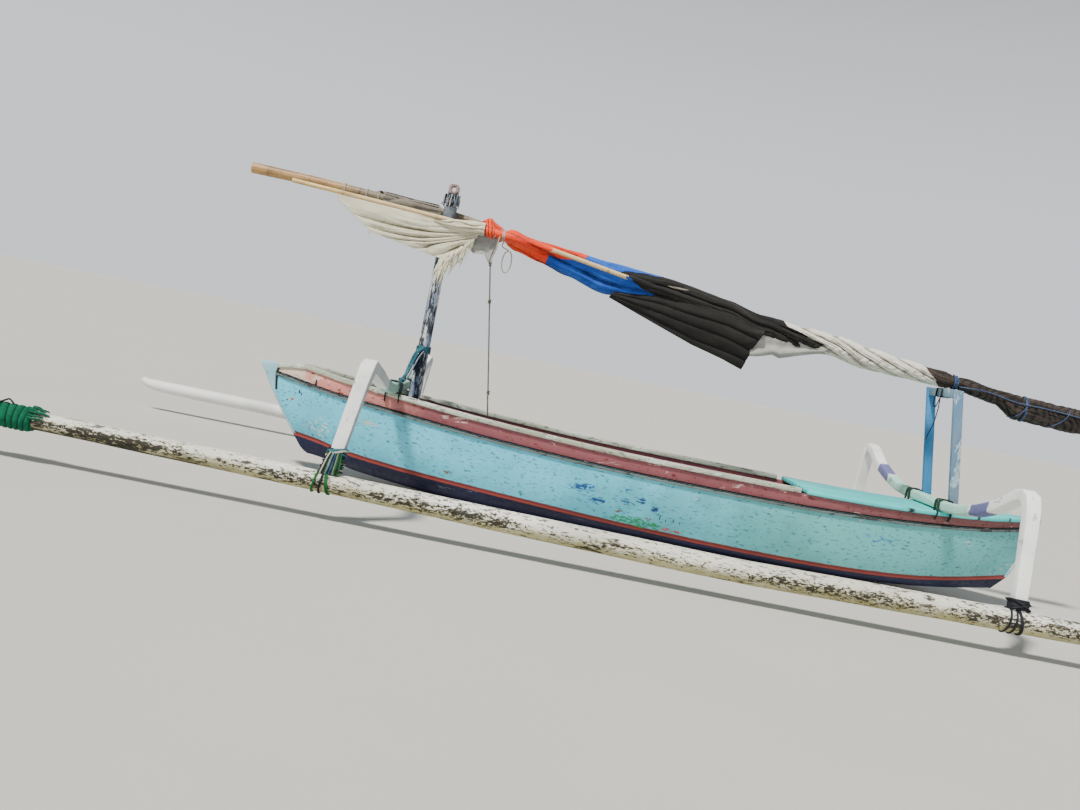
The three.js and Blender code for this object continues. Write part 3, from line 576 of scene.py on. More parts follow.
sidePatches = [
    # x, z, half length, half height, cover, tone
    (-0.95, 0.255, 0.06, 0.024, 0.4, (120, 92, 52)), (-0.76, 0.245, 0.05, 0.02, 0.4, (128, 96, 56)),
    (0.45, 0.22, 0.06, 0.024, 0.4, (120, 76, 44)), (0.68, 0.208, 0.05, 0.022, 0.44, (134, 72, 56)),
    (0.14, 0.36, 0.2, 0.06, 0.42, (34, 80, 144)), (0.26, 0.28, 0.14, 0.05, 0.4, (34, 76, 136)),
    (0.6, 0.34, 0.06, 0.05, 0.44, (34, 66, 120)), (0.72, 0.3, 0.06, 0.04, 0.44, (34, 66, 120)),
    (0.48, 0.31, 0.1, 0.05, 0.34, (34, 80, 144)), (0.44, 0.4, 0.1, 0.04, 0.32, (34, 80, 144)),
    (0.77, 0.236, 0.007, 0.026, 1.0, (44, 96, 72)), (0.82, 0.222, 0.006, 0.02, 1.0, (44, 96, 72)),
    (0.88, 0.232, 0.007, 0.024, 1.0, (44, 96, 72)), (0.93, 0.222, 0.005, 0.018, 1.0, (44, 96, 72)),
    (0.6, 0.165, 0.36, 0.06, 0.46, (40, 152, 100)), (0.32, 0.2, 0.24, 0.04, 0.24, (56, 146, 106)),
    (0.87, 0.15, 0.14, 0.03, 0.42, (190, 80, 62)), (2.52, 0.39, 0.26, 0.1, 0.28, (36, 100, 176)),
    (-2.06, 0.37, 0.18, 0.14, 0.3, (220, 228, 222)), (-1.6, 0.5, 0.34, 0.07, 0.2, (72, 116, 132)),
    (1.5, 0.42, 0.6, 0.1, 0.2, (70, 112, 116)), (-0.4, 0.46, 0.7, 0.1, 0.18, (66, 112, 128)),
]
bowPatches = [
    (-2.12, 0.73, 0.012, 0.05, 1.0, (24, 24, 28)), (-2.3, 0.69, 0.12, 0.03, 0.3, (150, 60, 48)),
    (-2.0, 0.69, 0.3, 0.022, 0.34, (126, 44, 38)), (-1.9, 0.73, 0.22, 0.04, 0.22, (90, 30, 30)),
]
foreMarks = [
    # on the blue at the bow: curved stroke, rust on white, dot, dash and a worn spot
    (-2.255, 0.635, 0.008, 0.022, 1.0, (26, 26, 30)), (-2.235, 0.615, 0.006, 0.016, 1.0, (26, 26, 30)),
    (-2.31, 0.565, 0.032, 0.018, 0.8, (190, 190, 178)), (-2.308, 0.562, 0.02, 0.012, 0.8, (128, 84, 44)),
    (-2.351, 0.545, 0.009, 0.008, 1.0, (26, 26, 30)), (-2.205, 0.558, 0.012, 0.004, 1.0, (26, 26, 30)),
    (-2.14, 0.57, 0.014, 0.02, 0.5, (52, 84, 104)),
]
# bands: the measure they follow, from, to, tone
redBand = [("aboveLine", -0.004, stripe["height"], stripe["red"])]
# the foot band of the washstrake and the black top of the strake draw the black line at their joint, partly a
# painted line and partly painted shadow in the joint
blackLineAndShadowFoot = [("aboveSheer", -0.002, 0.011, (30, 26, 26))]
stemBand = [("fromStem", -0.05, 0.018, (20, 20, 24))]
blackLineAndShadowTop = [("aboveSheer", -0.007, 0.002, (30, 28, 28))]
paint = {
    "navy": wornPaint("navyBottom", hullPaints["navy"], [("aboveLine", -0.016, 0.002, (150, 60, 52))]),
    "blue": wornPaint("blueTopsides", hullPaints["blue"], stemBand + redBand, sidePatches + foreMarks),
    "strake": wornPaint("rubbingStrakeWithShade", hullPaints["strake"], blackLineAndShadowTop),
    "mauve": wornPaint("mauveWashstrake", hullPaints["mauve"], blackLineAndShadowFoot + stemBand),
    "mauvePort": wornPaint("mauveWashstrakePort", hullPaints["mauvePort"], blackLineAndShadowFoot + stemBand, bowPatches),
}
for key in ("cap", "turquoise", "post", "deckGrey", "innerWood"):
    paint[key] = wornPaint(key + "Paint", hullPaints[key])
lineRise = [("aboveLine", lambda point: point.z - waterline(point.x))]
sheerRise = lineRise + [
    ("aboveSheer", lambda point: point.z - sheer(point.x)),
    ("fromStem", lambda point: point.x - stemLine(point.z) if point.z > stemBend else 1.0),
]
refinedNode("hull_log", paint["navy"], 0.004, 24, lineRise)
for side in sides:
    refinedNode("side_plank_" + side, paint["blue"], 0.0025, 30, sheerRise)
    refinedNode("rubbing_strake_" + side, paint["strake"], 0.004, 30, sheerRise)
    refinedNode("washstrake_" + side, paint["mauvePort" if side == "port" else "mauve"],
                0.002, 30, sheerRise)
    refinedNode("gunwale_" + side, paint["cap"], 0.006, 30)
for nodeName in ("stem_head", "stern_head"):
    refinedNode(nodeName, paint["post"], 0.007, 24)
refinedNode("foredeck", paint["deckGrey"])
refinedNode("aft_deck", paint["turquoise"], 0.006)
for nodeName in ("frame_1", "frame_2", "frame_3", "mast_thwart", "thwart_mid", "thwart_aft", "mast_step",
                 "floorboards"):
    refinedNode(nodeName, paint["innerWood"])
print("canoe: hull, decks and inside")

# arms: boom and leg of each outrigger, mint inboard and white outboard, with painted shade on the faces
# turned aft
armPaint = coats((240, 243, 240), (226, 230, 228), (168, 172, 168), (120, 112, 100), (112, 116, 116),
                 fleckFrom=0.62, fleckCover=0.55, chipScale=8, grain=(1, 0.12, 0.3), long=(1, 0.4, 0.6),
                 dirtCover=0.22)
armScarf = {"out": 1.39, "slant": 0.25, "half": 0.0015, "tone": (52, 50, 48)}  # where the leg is joined on
armTones = {
    # from and to which distance from the middle a colour runs, the colour, its cover
    "front": [(-0.1, 0.95, (168, 214, 196), 0.9)],
    "rear": [(-0.1, 0.9, (170, 232, 212), 0.9), (0.93, 1.22, (84, 84, 150), 0.92)],
}


def armFinish(name, tones):
    finish = wornPaint(name, armPaint)
    place, facing = (coordinate(finish.node_tree, key) for key in ("Object", "Normal"))
    out = place.axis(1).join("ABSOLUTE")
    ragged = out + place.speckle(26, 5).eased(0.2, 0.8, -0.03, 0.03)
    # painted shade: faces turned aft are darkened with a blue-grey
    aftShadeShare = facing.axis(0).eased(0.4, 0.8, 0.0, 0.75)
    colour = aftShadeShare.mix(colourOf(finish), (150, 158, 166), "MULTIPLY")
    for first, last, tone, cover in tones:
        colour = (ragged.band(first, last, 0.012) * cover).mix(colour, tone, "MULTIPLY")
    joint = (out - place.axis(2) * armScarf["slant"]) - armScarf["out"]
    seam = joint.band(-armScarf["half"], armScarf["half"], 0.001) * 0.75
    return dress(finish, seam.mix(colour, armScarf["tone"]))


for arm, tones in armTones.items():
    look = armFinish(arm + "ArmPaint", tones)
    for nodeName in ["boom_" + arm] + [f"leg_{arm}_{side}" for side in sides]:
        refinedNode(nodeName, look, 0.0045, 26)
print("canoe: booms and legs")

# floats: thick light poles, slightly lumpy, the near one heavily flecked
floatPlan = {
    "rings": 150, "around": 40, "lump": 0.0022, "apart": 0.015, "foreCloser": 1.25, "nose": 0.006,
    "port": coats((226, 225, 216), (208, 206, 192), (60, 57, 50), (34, 32, 28), (30, 28, 25), fleckFrom=0.57,
                  fleckCover=0.95, fleckScale=64, long=(0.26, 1, 1), grain=(0.06, 1, 1), grainScale=60,
                  seamCover=0.8, seam=(30, 28, 26), chipFrom=0.585, chipScale=21, roughness=0.6,
                  dirtCover=0.3, dirt=(150, 146, 118)),
    "starboard": coats((226, 227, 224), (214, 216, 212), (160, 158, 150), (92, 88, 80), (120, 118, 110),
                       fleckFrom=0.63, fleckCover=0.5, long=(0.25, 1, 1), grain=(0.06, 1, 1), chipFrom=0.66,
                       roughness=0.5),
}
# olive, moss and black are mildew and flakes; under and foreUnder darken the underside, partly as dark growth
# and partly as painted shade
mildewAndShade = {"olive": (196, 190, 122), "moss": (122, 114, 58), "black": (30, 28, 25), "under": (92, 92, 70),
          "foreUnder": (24, 23, 15), "fore": (-2.75, -1.9)}


def mildewedAndShaded(finish):
    # black flakes thicken downwards, olive mildew below the middle, nearly black right under; that dark
    # underside is partly dark growth and partly painted shade
    place, facing = (coordinate(finish.node_tree, key) for key in ("Object", "Normal"))
    up = facing.axis(2)
    patchy = place.scaled((0.5, 1, 1)).speckle(4.5, 4)
    flakes = place.scaled((0.42, 1, 1)).speckle(74, 7, 0.7, 0.5)
    low = up + place.scaled((0.3, 1, 1)).speckle(18, 6, 0.65).eased(0.25, 0.75, -0.4, 0.4)
    colour = low.eased(-0.85, 0.4, 0.85, 0.0).mix(colourOf(finish), mildewAndShade["olive"], "MULTIPLY")
    middle = up.eased(-0.95, -0.1) * up.eased(0.0, 0.75, 1.0, 0.0)
    fore = place.axis(0).eased(*mildewAndShade["fore"], 1.0, 0.0)
    flakes += middle.eased(0.0, 1.0, -0.015, 0.1) + patchy.eased(0.35, 0.65, -0.045, 0.075)
    flakes += fore * up.eased(0.1, 0.8, 0.07, 0.0)
    colour = flakes.eased(0.59, 0.62, 0.0, 0.7).mix(colour, mildewAndShade["moss"])
    colour = (flakes.eased(0.62, 0.645) * 0.94).mix(colour, mildewAndShade["black"])
    # underside darker: partly dark growth, partly painted shade
    colour = low.eased(-1.4, -0.95, 0.5, 0.0).mix(colour, mildewAndShade["under"])
    return dress(finish, (fore * low.eased(-0.85, -0.25, 0.95, 0.0)).mix(colour, mildewAndShade["foreUnder"]))


def makeFloat(side):
    rows = barRows("float_" + side, floatPlan["apart"])
    first, last = rows[0][0].x, rows[-1][0].x
    count = floatPlan["rings"]
    places = [first + (last - first) * (k / count) ** floatPlan["foreCloser"] for k in range(count + 1)]
    shift = 0.0 if side == "port" else 31.0

    def radiusAt(u, angle):
        x = places[round(u * count)]
        radius = atLength(rows, x)[1]
        wave = waves(x * 2.1 + shift, math.cos(angle) * 0.8, math.sin(angle) * 0.8)
        return radius - floatPlan["lump"] * (1.0 + wave) * min(1.0, radius / 0.05)

    bm = tube([atLength(rows, x)[0].copy() for x in places], radiusAt, None, floatPlan["around"])
    roundEdges(bm, 60, floatPlan["nose"], 3)
    finish = wornPaint(side + "FloatPaint", floatPlan[side])
    if side == "port":
        mildewedAndShaded(finish)
    finishPiece("float_" + side + "_pole", bm, "root", finish, ("float_" + side,), 50)
    return rows


floatRows = {side: makeFloat(side) for side in sides}
print("canoe: floats")

# rope lashings round each leg's foot and its float
ropeTones = {
    # main, second, and the painted shade in the grooves between the strands
    "black": ((44, 44, 50), (70, 72, 80), (14, 14, 16)),
    "green": ((20, 118, 40), (60, 158, 84), (6, 44, 20)),
    "net": ((12, 106, 72), (30, 142, 100), (4, 42, 32)),
    "blue": ((60, 96, 150), (120, 140, 172), (22, 34, 60)),
    "navy": ((30, 48, 84), (66, 86, 112), (10, 14, 26)),
    "slate": ((132, 154, 172), (198, 206, 212), (50, 60, 74)),
    "teal": ((44, 112, 128), (96, 168, 180), (12, 34, 46)),
    "leaf": ((150, 178, 140), (186, 202, 170), (40, 60, 40)),
    "white": ((226, 222, 210), (204, 200, 188), (142, 136, 124)),
    "line": ((146, 148, 134), (112, 112, 98), (58, 56, 48)),
}
ropes = {colour: ropeFinish(colour + "Rope", *tones) for colour, tones in ropeTones.items()}
lashPlan = {
    "rope": 0.0066, "turns": 7, "span": (0.076, 0.142), "half": (0.048, 0.041), "legLean": (0.178, 0.984),
    "thin": 0.0046, "square": 5.0, "slack": 0.004, "lump": 0.0015,
    # slanting turns: place up the leg, how far apart, tilt and how much less the next has
    "cross": {"up": 0.109, "apart": 0.012, "tilt": 0.022, "less": 0.008, "reach": 2.9, "thinner": 0.72},
    # round the float: place along it, turns, spread, lean, colour
    "rings": [(-0.072, 2, 0.01, 0.014, "green"), (-0.03, 2, 0.009, 0.008, "black"),
              (0.008, 3, 0.018, -0.014, "green")],
    # loose turns further up the near front leg: colour, tilt
    "loose": {"up": 0.15, "apart": 0.0135, "drift": 0.012, "thinner": 0.8,
              "turns": [("navy", 0.3), ("green", -0.35), ("navy", 0.12), ("white", 0.42), ("black", -0.2)]},
    "strands": ["black", "white", "black", "green", "slate", "navy", "teal", "navy", "leaf", "green", "black",
                "green"],
    # where a strand starts on the float, then how far up the leg it lies and its share of the width
    "strandSpan": 0.094, "strandFoot": (1.3, 0.62, 0.84),
    "strandStops": [(0.105, 1.2), (0.155, 1.05), (0.2, 0.8)],
    "band": {"up": 0.186, "apart": 0.0105, "reach": 1.5, "tilts": (0.1, -0.16, 0.06, 0.2)},
}


def makeLashing(arm, side, sign):
    low, high = boxOf(f"lashing_{arm}_{side}")
    centreX = (low.x + high.x) / 2
    axis, radius = atLength(floatRows[side], centreX)
    boomLow, boomHigh = boxOf("boom_" + arm)
    rake = ((boomLow.x + boomHigh.x) / 2 - centreX) / (boomHigh.z - axis.z)
    inward, upward = lashPlan["legLean"]
    legAway = Vector((rake, -inward * sign, upward)).normalized()  # the leg's line, up from the float
    cross = Vector((0.0, upward * sign, inward))
    rope, thin, square, lump = (lashPlan[key] for key in ("rope", "thin", "square", "lump"))
    start, end = lashPlan["span"]
    halfX, halfAcross = lashPlan["half"]
    nearFront = arm == "front" and side == "port"
    seed = 3.0 * axis.x + sign

    def legCentre(f):
        slack = lashPlan["slack"] * waves(f * 6, seed, 0.0)
        return axis + legAway * (start + (end - start) * f) + xAxis * slack

    def wrapLeg(bm, centreAt, reach, tilt, turns, steps, corner, turned, thick):
        path = turnsPath(centreAt, xAxis + legAway * tilt, cross, halfX + reach, halfAcross + reach, turns,
                         steps, corner, turned)
        return tube(path, thick, bm)

    bm = wrapLeg(None, legCentre, rope, 0.0, lashPlan["turns"], 22, 6.0, 0.0, rope)
    finishPiece(f"leg_ropes_{arm}_{side}", bm, "root", ropes["navy" if nearFront else "black"],
                (f"lashing_{arm}_{side}",))

    # slanting turns over the first ones, each a little off the last
    made = meshesFor(["green", "white", "black"] if nearFront else ["black"])
    plan = lashPlan["cross"]
    for k, bm in enumerate(made.values()):
        for turn in range(2):
            tilt = (plan["tilt"] - plan["less"] * turn) * (1 if (k + turn) % 2 else -1)
            middle = axis + legAway * (plan["up"] + plan["apart"] * (k - 1) * turn)
            wrapLeg(bm, middle, rope * plan["reach"] + lump * k, tilt / halfX, 1.0, 28, square,
                    0.7 * k + turn, rope * plan["thinner"])
    finishRopes(f"leg_cross_*_{arm}_{side}", made)

    made = meshesFor(["green", "black"])
    for place, turns, spread, lean, colour in lashPlan["rings"]:
        path = []
        steps = turns * 32
        for k in range(steps + 1):
            angle = 2 * math.pi * k / 32 + math.pi / 2
            out = radius + thin * 0.9 + lump * waves(k * 0.3, seed, place)
            x = place + (k / steps - 0.5) * spread + lean * math.sin(angle)
            path.append(axis + Vector((x, out * math.cos(angle), out * math.sin(angle))))
        tube(path, thin, made[colour if nearFront else "black"])
    finishRopes(f"float_ropes_*_{arm}_{side}", made)
    if not nearFront:
        return

    plan = lashPlan["loose"]
    for k, (colour, tilt) in enumerate(plan["turns"]):
        middle = axis + legAway * (plan["up"] + plan["apart"] * k)
        reach = rope * (1.3 + 0.5 * (k % 2))
        bm = wrapLeg(None, lambda f: middle + legAway * plan["drift"] * f, reach, tilt, 2.0, 26, square,
                     1.3 * k, rope * plan["thinner"])
        finishPiece(f"leg_loose_{k + 1}", bm, "root", ropes[colour])

    # long strands from the float up over the lashing, and a thick band round its top
    made = meshesFor(lashPlan["strands"])
    count = len(lashPlan["strands"])
    footAside, footOut, footUp = lashPlan["strandFoot"]
    for k, colour in enumerate(lashPlan["strands"]):
        offset = xAxis * lashPlan["strandSpan"] * (k / (count - 1) - 0.5)
        bulge = rope * (4.0 + 0.9 * waves(k * 1.7, 3.0, 0.0))
        stops = [axis + offset * footAside + Vector((0.0, sign * footOut * radius, radius * footUp))]
        for (up, aside), out in zip(lashPlan["strandStops"], (bulge, bulge * 0.9, rope * 1.4)):
            stops.append(axis + legAway * up + offset * aside + cross * (halfAcross + out))
        tube(smoothLine(stops, 8), thin * (0.9 + 0.26 * ((k * 5) % 3)), made[colour])
    plan = lashPlan["band"]
    for k, tilt in enumerate(plan["tilts"]):
        middle = axis + legAway * (plan["up"] + plan["apart"] * k)
        wrapLeg(made["teal"], middle, rope * plan["reach"], tilt, 1.0, 28, square, 0.9 * k, rope)
    finishRopes("leg_strands_*", made)


for arm in armTones:
    for side, sign in sides.items():
        makeLashing(arm, side, sign)
print("canoe: float lashings")

# crossed ties that hold each boom down on the gunwale or the aft deck, through holes in the washstrake
boomTies = {
    # (|y|, z) from the outer hole up, over the boom and down inside
    "front": [(0.315, 0.712), (0.351, 0.75), (0.352, 0.8), (0.346, 0.862), (0.337, 0.8785), (0.302, 0.8785),
              (0.29, 0.862), (0.277, 0.79), (0.276, 0.755), (0.3, 0.71)],
    "rear": [(0.338, 0.64), (0.368, 0.675), (0.37, 0.72), (0.362, 0.788), (0.353, 0.8035), (0.318, 0.8035),
             (0.306, 0.788), (0.3, 0.73), (0.298, 0.7)],
    "rope": 0.005, "beside": 0.0545, "closer": 0.6, "apart": 0.0105, "strands": ["black", "green", "black"],
}


def makeBoomTies():
    rope = boomTies["rope"]
    made = meshesFor(boomTies["strands"])
    strands = [(sign, lean, k) for sign in (-1, 1) for lean in (-1, 1) for k in range(3)]
    for arm in armTones:
        low, high = boxOf("boom_" + arm)
        stops = boomTies[arm]
        crest = max(z for y, z in stops)
        for sign, lean, k in strands:
            points = []
            for n, (y, z) in enumerate(stops):
                aside = lean * boomTies["beside"] * (1 if n < len(stops) / 2 else -1)
                if z == crest:  # the two stops on top of the boom lie closer together
                    aside *= boomTies["closer"]
                points.append(((low.x + high.x) / 2 + aside, sign * (y - boomTies["apart"] * (k - 1)),
                               z + rope * 0.6 * (lean > 0)))
            tube(smoothLine(points), rope, made[boomTies["strands"][k]])
    finishRopes("boom_ties_*", made)


makeBoomTies()

# green netting wound on the near float's fore end
wrapPlan = {"rings": 90, "around": 48, "ridges": 8, "ridge": 0.009, "lump": 0.004, "under": 0.002,
            "proud": 0.009, "tails": 9, "seed": 17,
            # mesh: painted shade in the openings of the net; deep: painted shade in the grooves between the
            # turns
            "main": (12, 106, 72), "second": (28, 138, 98), "mesh": (4, 42, 32), "deep": (3, 34, 26),
            "ropes": [(-3.79, (0.018, 0.042, 0.024)), (-3.72, (0.02, 0.038, 0.05, 0.02))]}


def netFinish():
    finish, place = startFinish("woundNetting", 0.9, 0.15)
    mesh = put(place.tree, "ShaderNodeTexVoronoi", {
        "Vector": clothPlace(place.tree).scaled((1, 0.5, 1), (0, 0, 0.6)), "Scale": 150},
        feature="DISTANCE_TO_EDGE")
    colour = place.speckle(16, 6, 0.65).eased(0.36, 0.62).mix(wrapPlan["main"], wrapPlan["second"])
    # painted shade in the openings of the net and in the grooves between its turns
    colour = mesh.eased(0.02, 0.12, 0.0, 0.6).mix(colour, wrapPlan["mesh"])
    colour = attribute(place.tree, "hollowShade").eased(0.3, 0.85, 0.0, 0.85).mix(colour, wrapPlan["deep"])
    return dress(finish, colour, mesh.eased(0.0, 0.14, 1.0, 0.0).bump(0.9, 0.002))


def makeWrap():
    low, high = boxOf("float_wrap")
    rows = floatRows["port"]
    count = wrapPlan["rings"]
    span = high.x - low.x
    path = [atLength(rows, low.x + span * k / count)[0].copy() for k in range(count + 1)]

    def ringAt(u, angle):
        return abs(math.sin(math.pi * wrapPlan["ridges"] * (u + 0.045 * math.sin(angle + 4 * u)))) ** 0.7

    def radiusAt(u, angle):
        x = low.x + span * u
        shoulder = min(1.0, 6 * u, 6 * (1 - u)) ** 0.5
        lump = waves(x * 16, math.cos(angle) * 2.2, math.sin(angle) * 2.2)
        proud = wrapPlan["proud"] + wrapPlan["ridge"] * ringAt(u, angle) + wrapPlan["lump"] * (0.5 + lump)
        return atLength(rows, x)[1] + wrapPlan["under"] + shoulder * proud

    bm = bmesh.new()
    layer = bm.verts.layers.float.new("hollowShade")
    tube(path, radiusAt, bm, wrapPlan["around"])
    frames = carriedFrames(path)
    # fold layer: 1 in the grooves between the turns, which get painted shade
    for vert in bm.verts:
        k = min(range(count + 1), key=lambda n: (path[n] - vert.co).length)
        away = vert.co - path[k]
        vert[layer] = 1.0 - ringAt(k / count, math.atan2(away.dot(frames[k][1]), away.dot(frames[k][0])))
    finishPiece("float_netting", bm, "root", netFinish(), ("float_wrap",))

    # ragged ends of the netting, and black rope bits held under its turns
    random.seed(wrapPlan["seed"])
    bm = bmesh.new()
    for k in range(wrapPlan["tails"]):
        angle = -0.5 + 1.9 * k / wrapPlan["tails"] + 0.1 * random.random()
        reach = 0.03 + 0.065 * random.random() * (1.2 if k > 4 else 0.7)
        stops = []
        for f in (0.0, 0.35, 0.7, 1.0):
            centre, radius = atLength(rows, high.x - 0.02 + (reach + 0.02) * f)
            out = radius + 0.004 + 0.016 * (1 - f) + 0.008 * random.random()
            stops.append(centre + outward(angle + 0.12 * f * math.sin(5.0 * k)) * out)
        width = 0.006 + 0.004 * random.random()
        tube(smoothLine(stops, 5), lambda u, turn: width * (1.15 - 0.6 * u), bm)
    finishPiece("float_netting_ends", bm, "root", ropes["net"])
    bm = bmesh.new()
    for start, lifts in wrapPlan["ropes"]:
        stops = []
        for k, lift in enumerate(lifts):
            centre, radius = atLength(rows, start + 0.03 * k)
            stops.append(centre + Vector((0.0, -0.25, 0.97)) * (radius + lift))
        tube(smoothLine(stops), 0.006, bm)
    finishPiece("float_netting_ropes", bm, "root", ropes["black"])


makeWrap()
print("canoe: netting")

# spars: bamboo yard and the thin lower spar, with a raised ring at each node of the cane
sparPlan = {
    "yard": dict(around=32, step=0.02, rings=[-2.864, -2.522, -2.11, -1.66, -1.2], rise=0.0022,
                 pale=(184, 146, 92), deep=(144, 110, 66), stain=(98, 78, 54), node=(84, 60, 38),
                 grey=(112, 108, 94), greyAlong=(-2.4, -1.95), greyCover=0.8),
    "sail_boom": dict(around=24, step=0.018, rings=[-2.2, -1.426, -0.9, 0.0], rise=0.0016,
                      pale=(226, 198, 138), deep=(196, 162, 104), stain=(146, 116, 72), node=(104, 72, 42),
                      grey=(196, 184, 152), greyAlong=(-2.4, -1.7), greyCover=0.35),
}
sparRings = {"apart": 0.03, "half": 0.016, "wave": 0.0008}


def makeSpar(nodeName):
    plan = sparPlan[nodeName]
    rows = barRows(nodeName, sparRings["apart"])
    first, last = rows[0][0].x, rows[-1][0].x
    count = int((last - first) / plan["step"])
    places = [first + (last - first) * k / count for k in range(count + 1)]

    def nodeShare(x):
        return max(0.0, 1.0 - min(abs(x - ring) for ring in plan["rings"]) / sparRings["half"])

    def radiusAt(u, angle):
        x = places[round(u * count)]
        wave = sparRings["wave"] * waves(x * 3, math.cos(angle), math.sin(angle))
        return atLength(rows, x)[1] - plan["rise"] + plan["rise"] * nodeShare(x) + wave

    bm = tube([atLength(rows, x)[0].copy() for x in places], radiusAt, None, plan["around"])
    layer = bm.verts.layers.float.new("nodeRing")
    for vert in bm.verts:
        vert[layer] = nodeShare(vert.co.x)
    roundEdges(bm, 70, 0.003)
    finish = bambooFinish(nodeName + "Cane", plan)
    finishPiece(nodeName + "_cane", bm, "rig", finish, (nodeName,), 50)
    return rows


yardRows = makeSpar("yard")
boomRows = makeSpar("sail_boom")
print("canoe: spars")

# mast with peeling paint, its head and the rope turns on it
mastPlan = {"rings": 90, "around": 36, "flat": 0.0016, "taperFrom": 0.9}
mastPaint = coats((206, 208, 210), (112, 130, 156), (36, 38, 44), (26, 26, 28), (28, 30, 38), fleckFrom=0.5,
                  fleckCover=0.95, fleckScale=30, long=(1, 1, 0.26), grain=(1, 1, 0.1), grainScale=60,
                  seamCover=0.8, seam=(30, 30, 34), chipFrom=0.51, chipScale=17, toneScale=14)
headPaint = coats((186, 166, 158), (150, 124, 118), (98, 74, 70), (42, 34, 34), (40, 32, 32), fleckFrom=0.52,
                  grain=(1, 1, 0.2), seamCover=0.5)


def makeMast():
    low, high = boxOf("mast")
    middle = (low + high) / 2
    count = mastPlan["rings"]
    path = [Vector((middle.x, middle.y, low.z + (high.z - low.z) * k / count)) for k in range(count + 1)]
    foot = (high.x - low.x) / 2
    topVerts = [v.co for v in nodes["mast"].data.vertices if v.co.z > high.z - 0.001]
    top = max(math.hypot(p.x - middle.x, p.y - middle.y) for p in topVerts)

    def radiusAt(u, angle):
        z = low.z + (high.z - low.z) * u
        taper = min(1.0, max(0.0, (z - mastPlan["taperFrom"]) / (high.z - mastPlan["taperFrom"])))
        wave = waves(math.cos(angle) * 1.4, math.sin(angle) * 1.4, z * 1.7)
        return foot + (top - foot) * taper - mastPlan["flat"] * (1 + wave)

    bm = tube(path, radiusAt, None, mastPlan["around"])
    finishPiece("mast_pole", bm, "root", wornPaint("mastPaint", mastPaint), ("mast",), 50)
    return middle, top


mastMiddle, mastTop = makeMast()
refinedNode("masthead", wornPaint("mastheadWood", headPaint), 0.011, 26)
strop = boxOf("mast_strop")
mastTurns = [
    # name, body, from and to height, out from the mast, rope, colour, node it stands for
    ("mast_strop_turns", "strop", strop[0].z, strop[1].z, 0.0015, 0.0042, "slate", ("mast_strop",)),
    ("mast_seizing_blue", "root", 2.356, 2.4, 0.0, 0.006, "slate", ()),
    ("mast_seizing_navy", "root", 2.402, 2.436, 0.0, 0.006, "navy", ()),
    ("mast_foot_turns", "root", 1.13, 1.192, 0.0055, 0.006, "teal", ()),
]
for name, body, low, high, out, rope, colour, replaced in mastTurns:
    radius = mastTop + out + rope
    path = turnsPath(lambda f: Vector((mastMiddle.x, mastMiddle.y, low + rope + (high - low - 2 * rope) * f)),
                     xAxis, yAxis, radius, radius, max(1, round((high - low) / (rope * 2.05))), 30)
    finishPiece(name, tube(path, rope), body, ropes[colour], replaced)

mastRopes = [
    # colour, radius, stops from the mast's foot turns: down to the front boom, or hanging on the mast
    ("teal", 0.011, [(-1.335, -0.062, 1.175), (-1.37, -0.072, 1.14), (-1.392, -0.12, 1.06),
                     (-1.41, -0.19, 0.972), (-1.44, -0.235, 0.886)]),
    ("teal", 0.009, [(-1.375, -0.058, 1.16), (-1.4, -0.085, 1.11), (-1.42, -0.14, 1.02), (-1.43, -0.2, 0.94),
                     (-1.455, -0.25, 0.884)]),
    ("slate", 0.006, [(-1.33, -0.068, 1.15), (-1.355, -0.085, 1.105), (-1.378, -0.14, 1.02),
                      (-1.4, -0.2, 0.93), (-1.43, -0.22, 0.88)]),
    ("navy", 0.01, [(-1.39, -0.035, 1.13), (-1.396, -0.05, 1.08), (-1.386, -0.052, 1.02),
                    (-1.392, -0.05, 0.98)]),
    ("navy", 0.01, [(-1.372, -0.052, 1.13), (-1.374, -0.064, 1.07), (-1.366, -0.062, 1.02),
                    (-1.37, -0.06, 0.97)]),
    ("navy", 0.009, [(-1.35, -0.06, 1.13), (-1.346, -0.07, 1.09), (-1.35, -0.066, 1.03)]),
]
boomHitch = {"y": -0.245, "z": 0.833, "along": Vector((0, -0.035, 0.004)), "half": (0.0555, 0.0465),
             "rope": 0.0065}


def makeMastRopes():
    # ropes made fast round the mast above the boom, and the turns that hold them on the boom
    made = meshesFor(["teal", "slate", "navy"])
    for colour, rope, stops in mastRopes:
        tube(smoothLine(stops), rope, made[colour], 10)
    low, high = boxOf("boom_front")
    centre = Vector(((low.x + high.x) / 2, boomHitch["y"], boomHitch["z"]))
    loops = turnsPath(lambda f: centre + boomHitch["along"] * f, xAxis, zAxis, *boomHitch["half"], 4, 24, 6.0)
    tube(loops, boomHitch["rope"], made["teal"])
    finishRopes("mast_ropes_*", made)


makeMastRopes()
tailPlan = {"count": 22, "top": 2.44, "foot": 2.335, "rope": 0.005, "seed": 7, "loose": (10, 17),
            "colours": ("slate", "white", "slate", "black", "slate")}


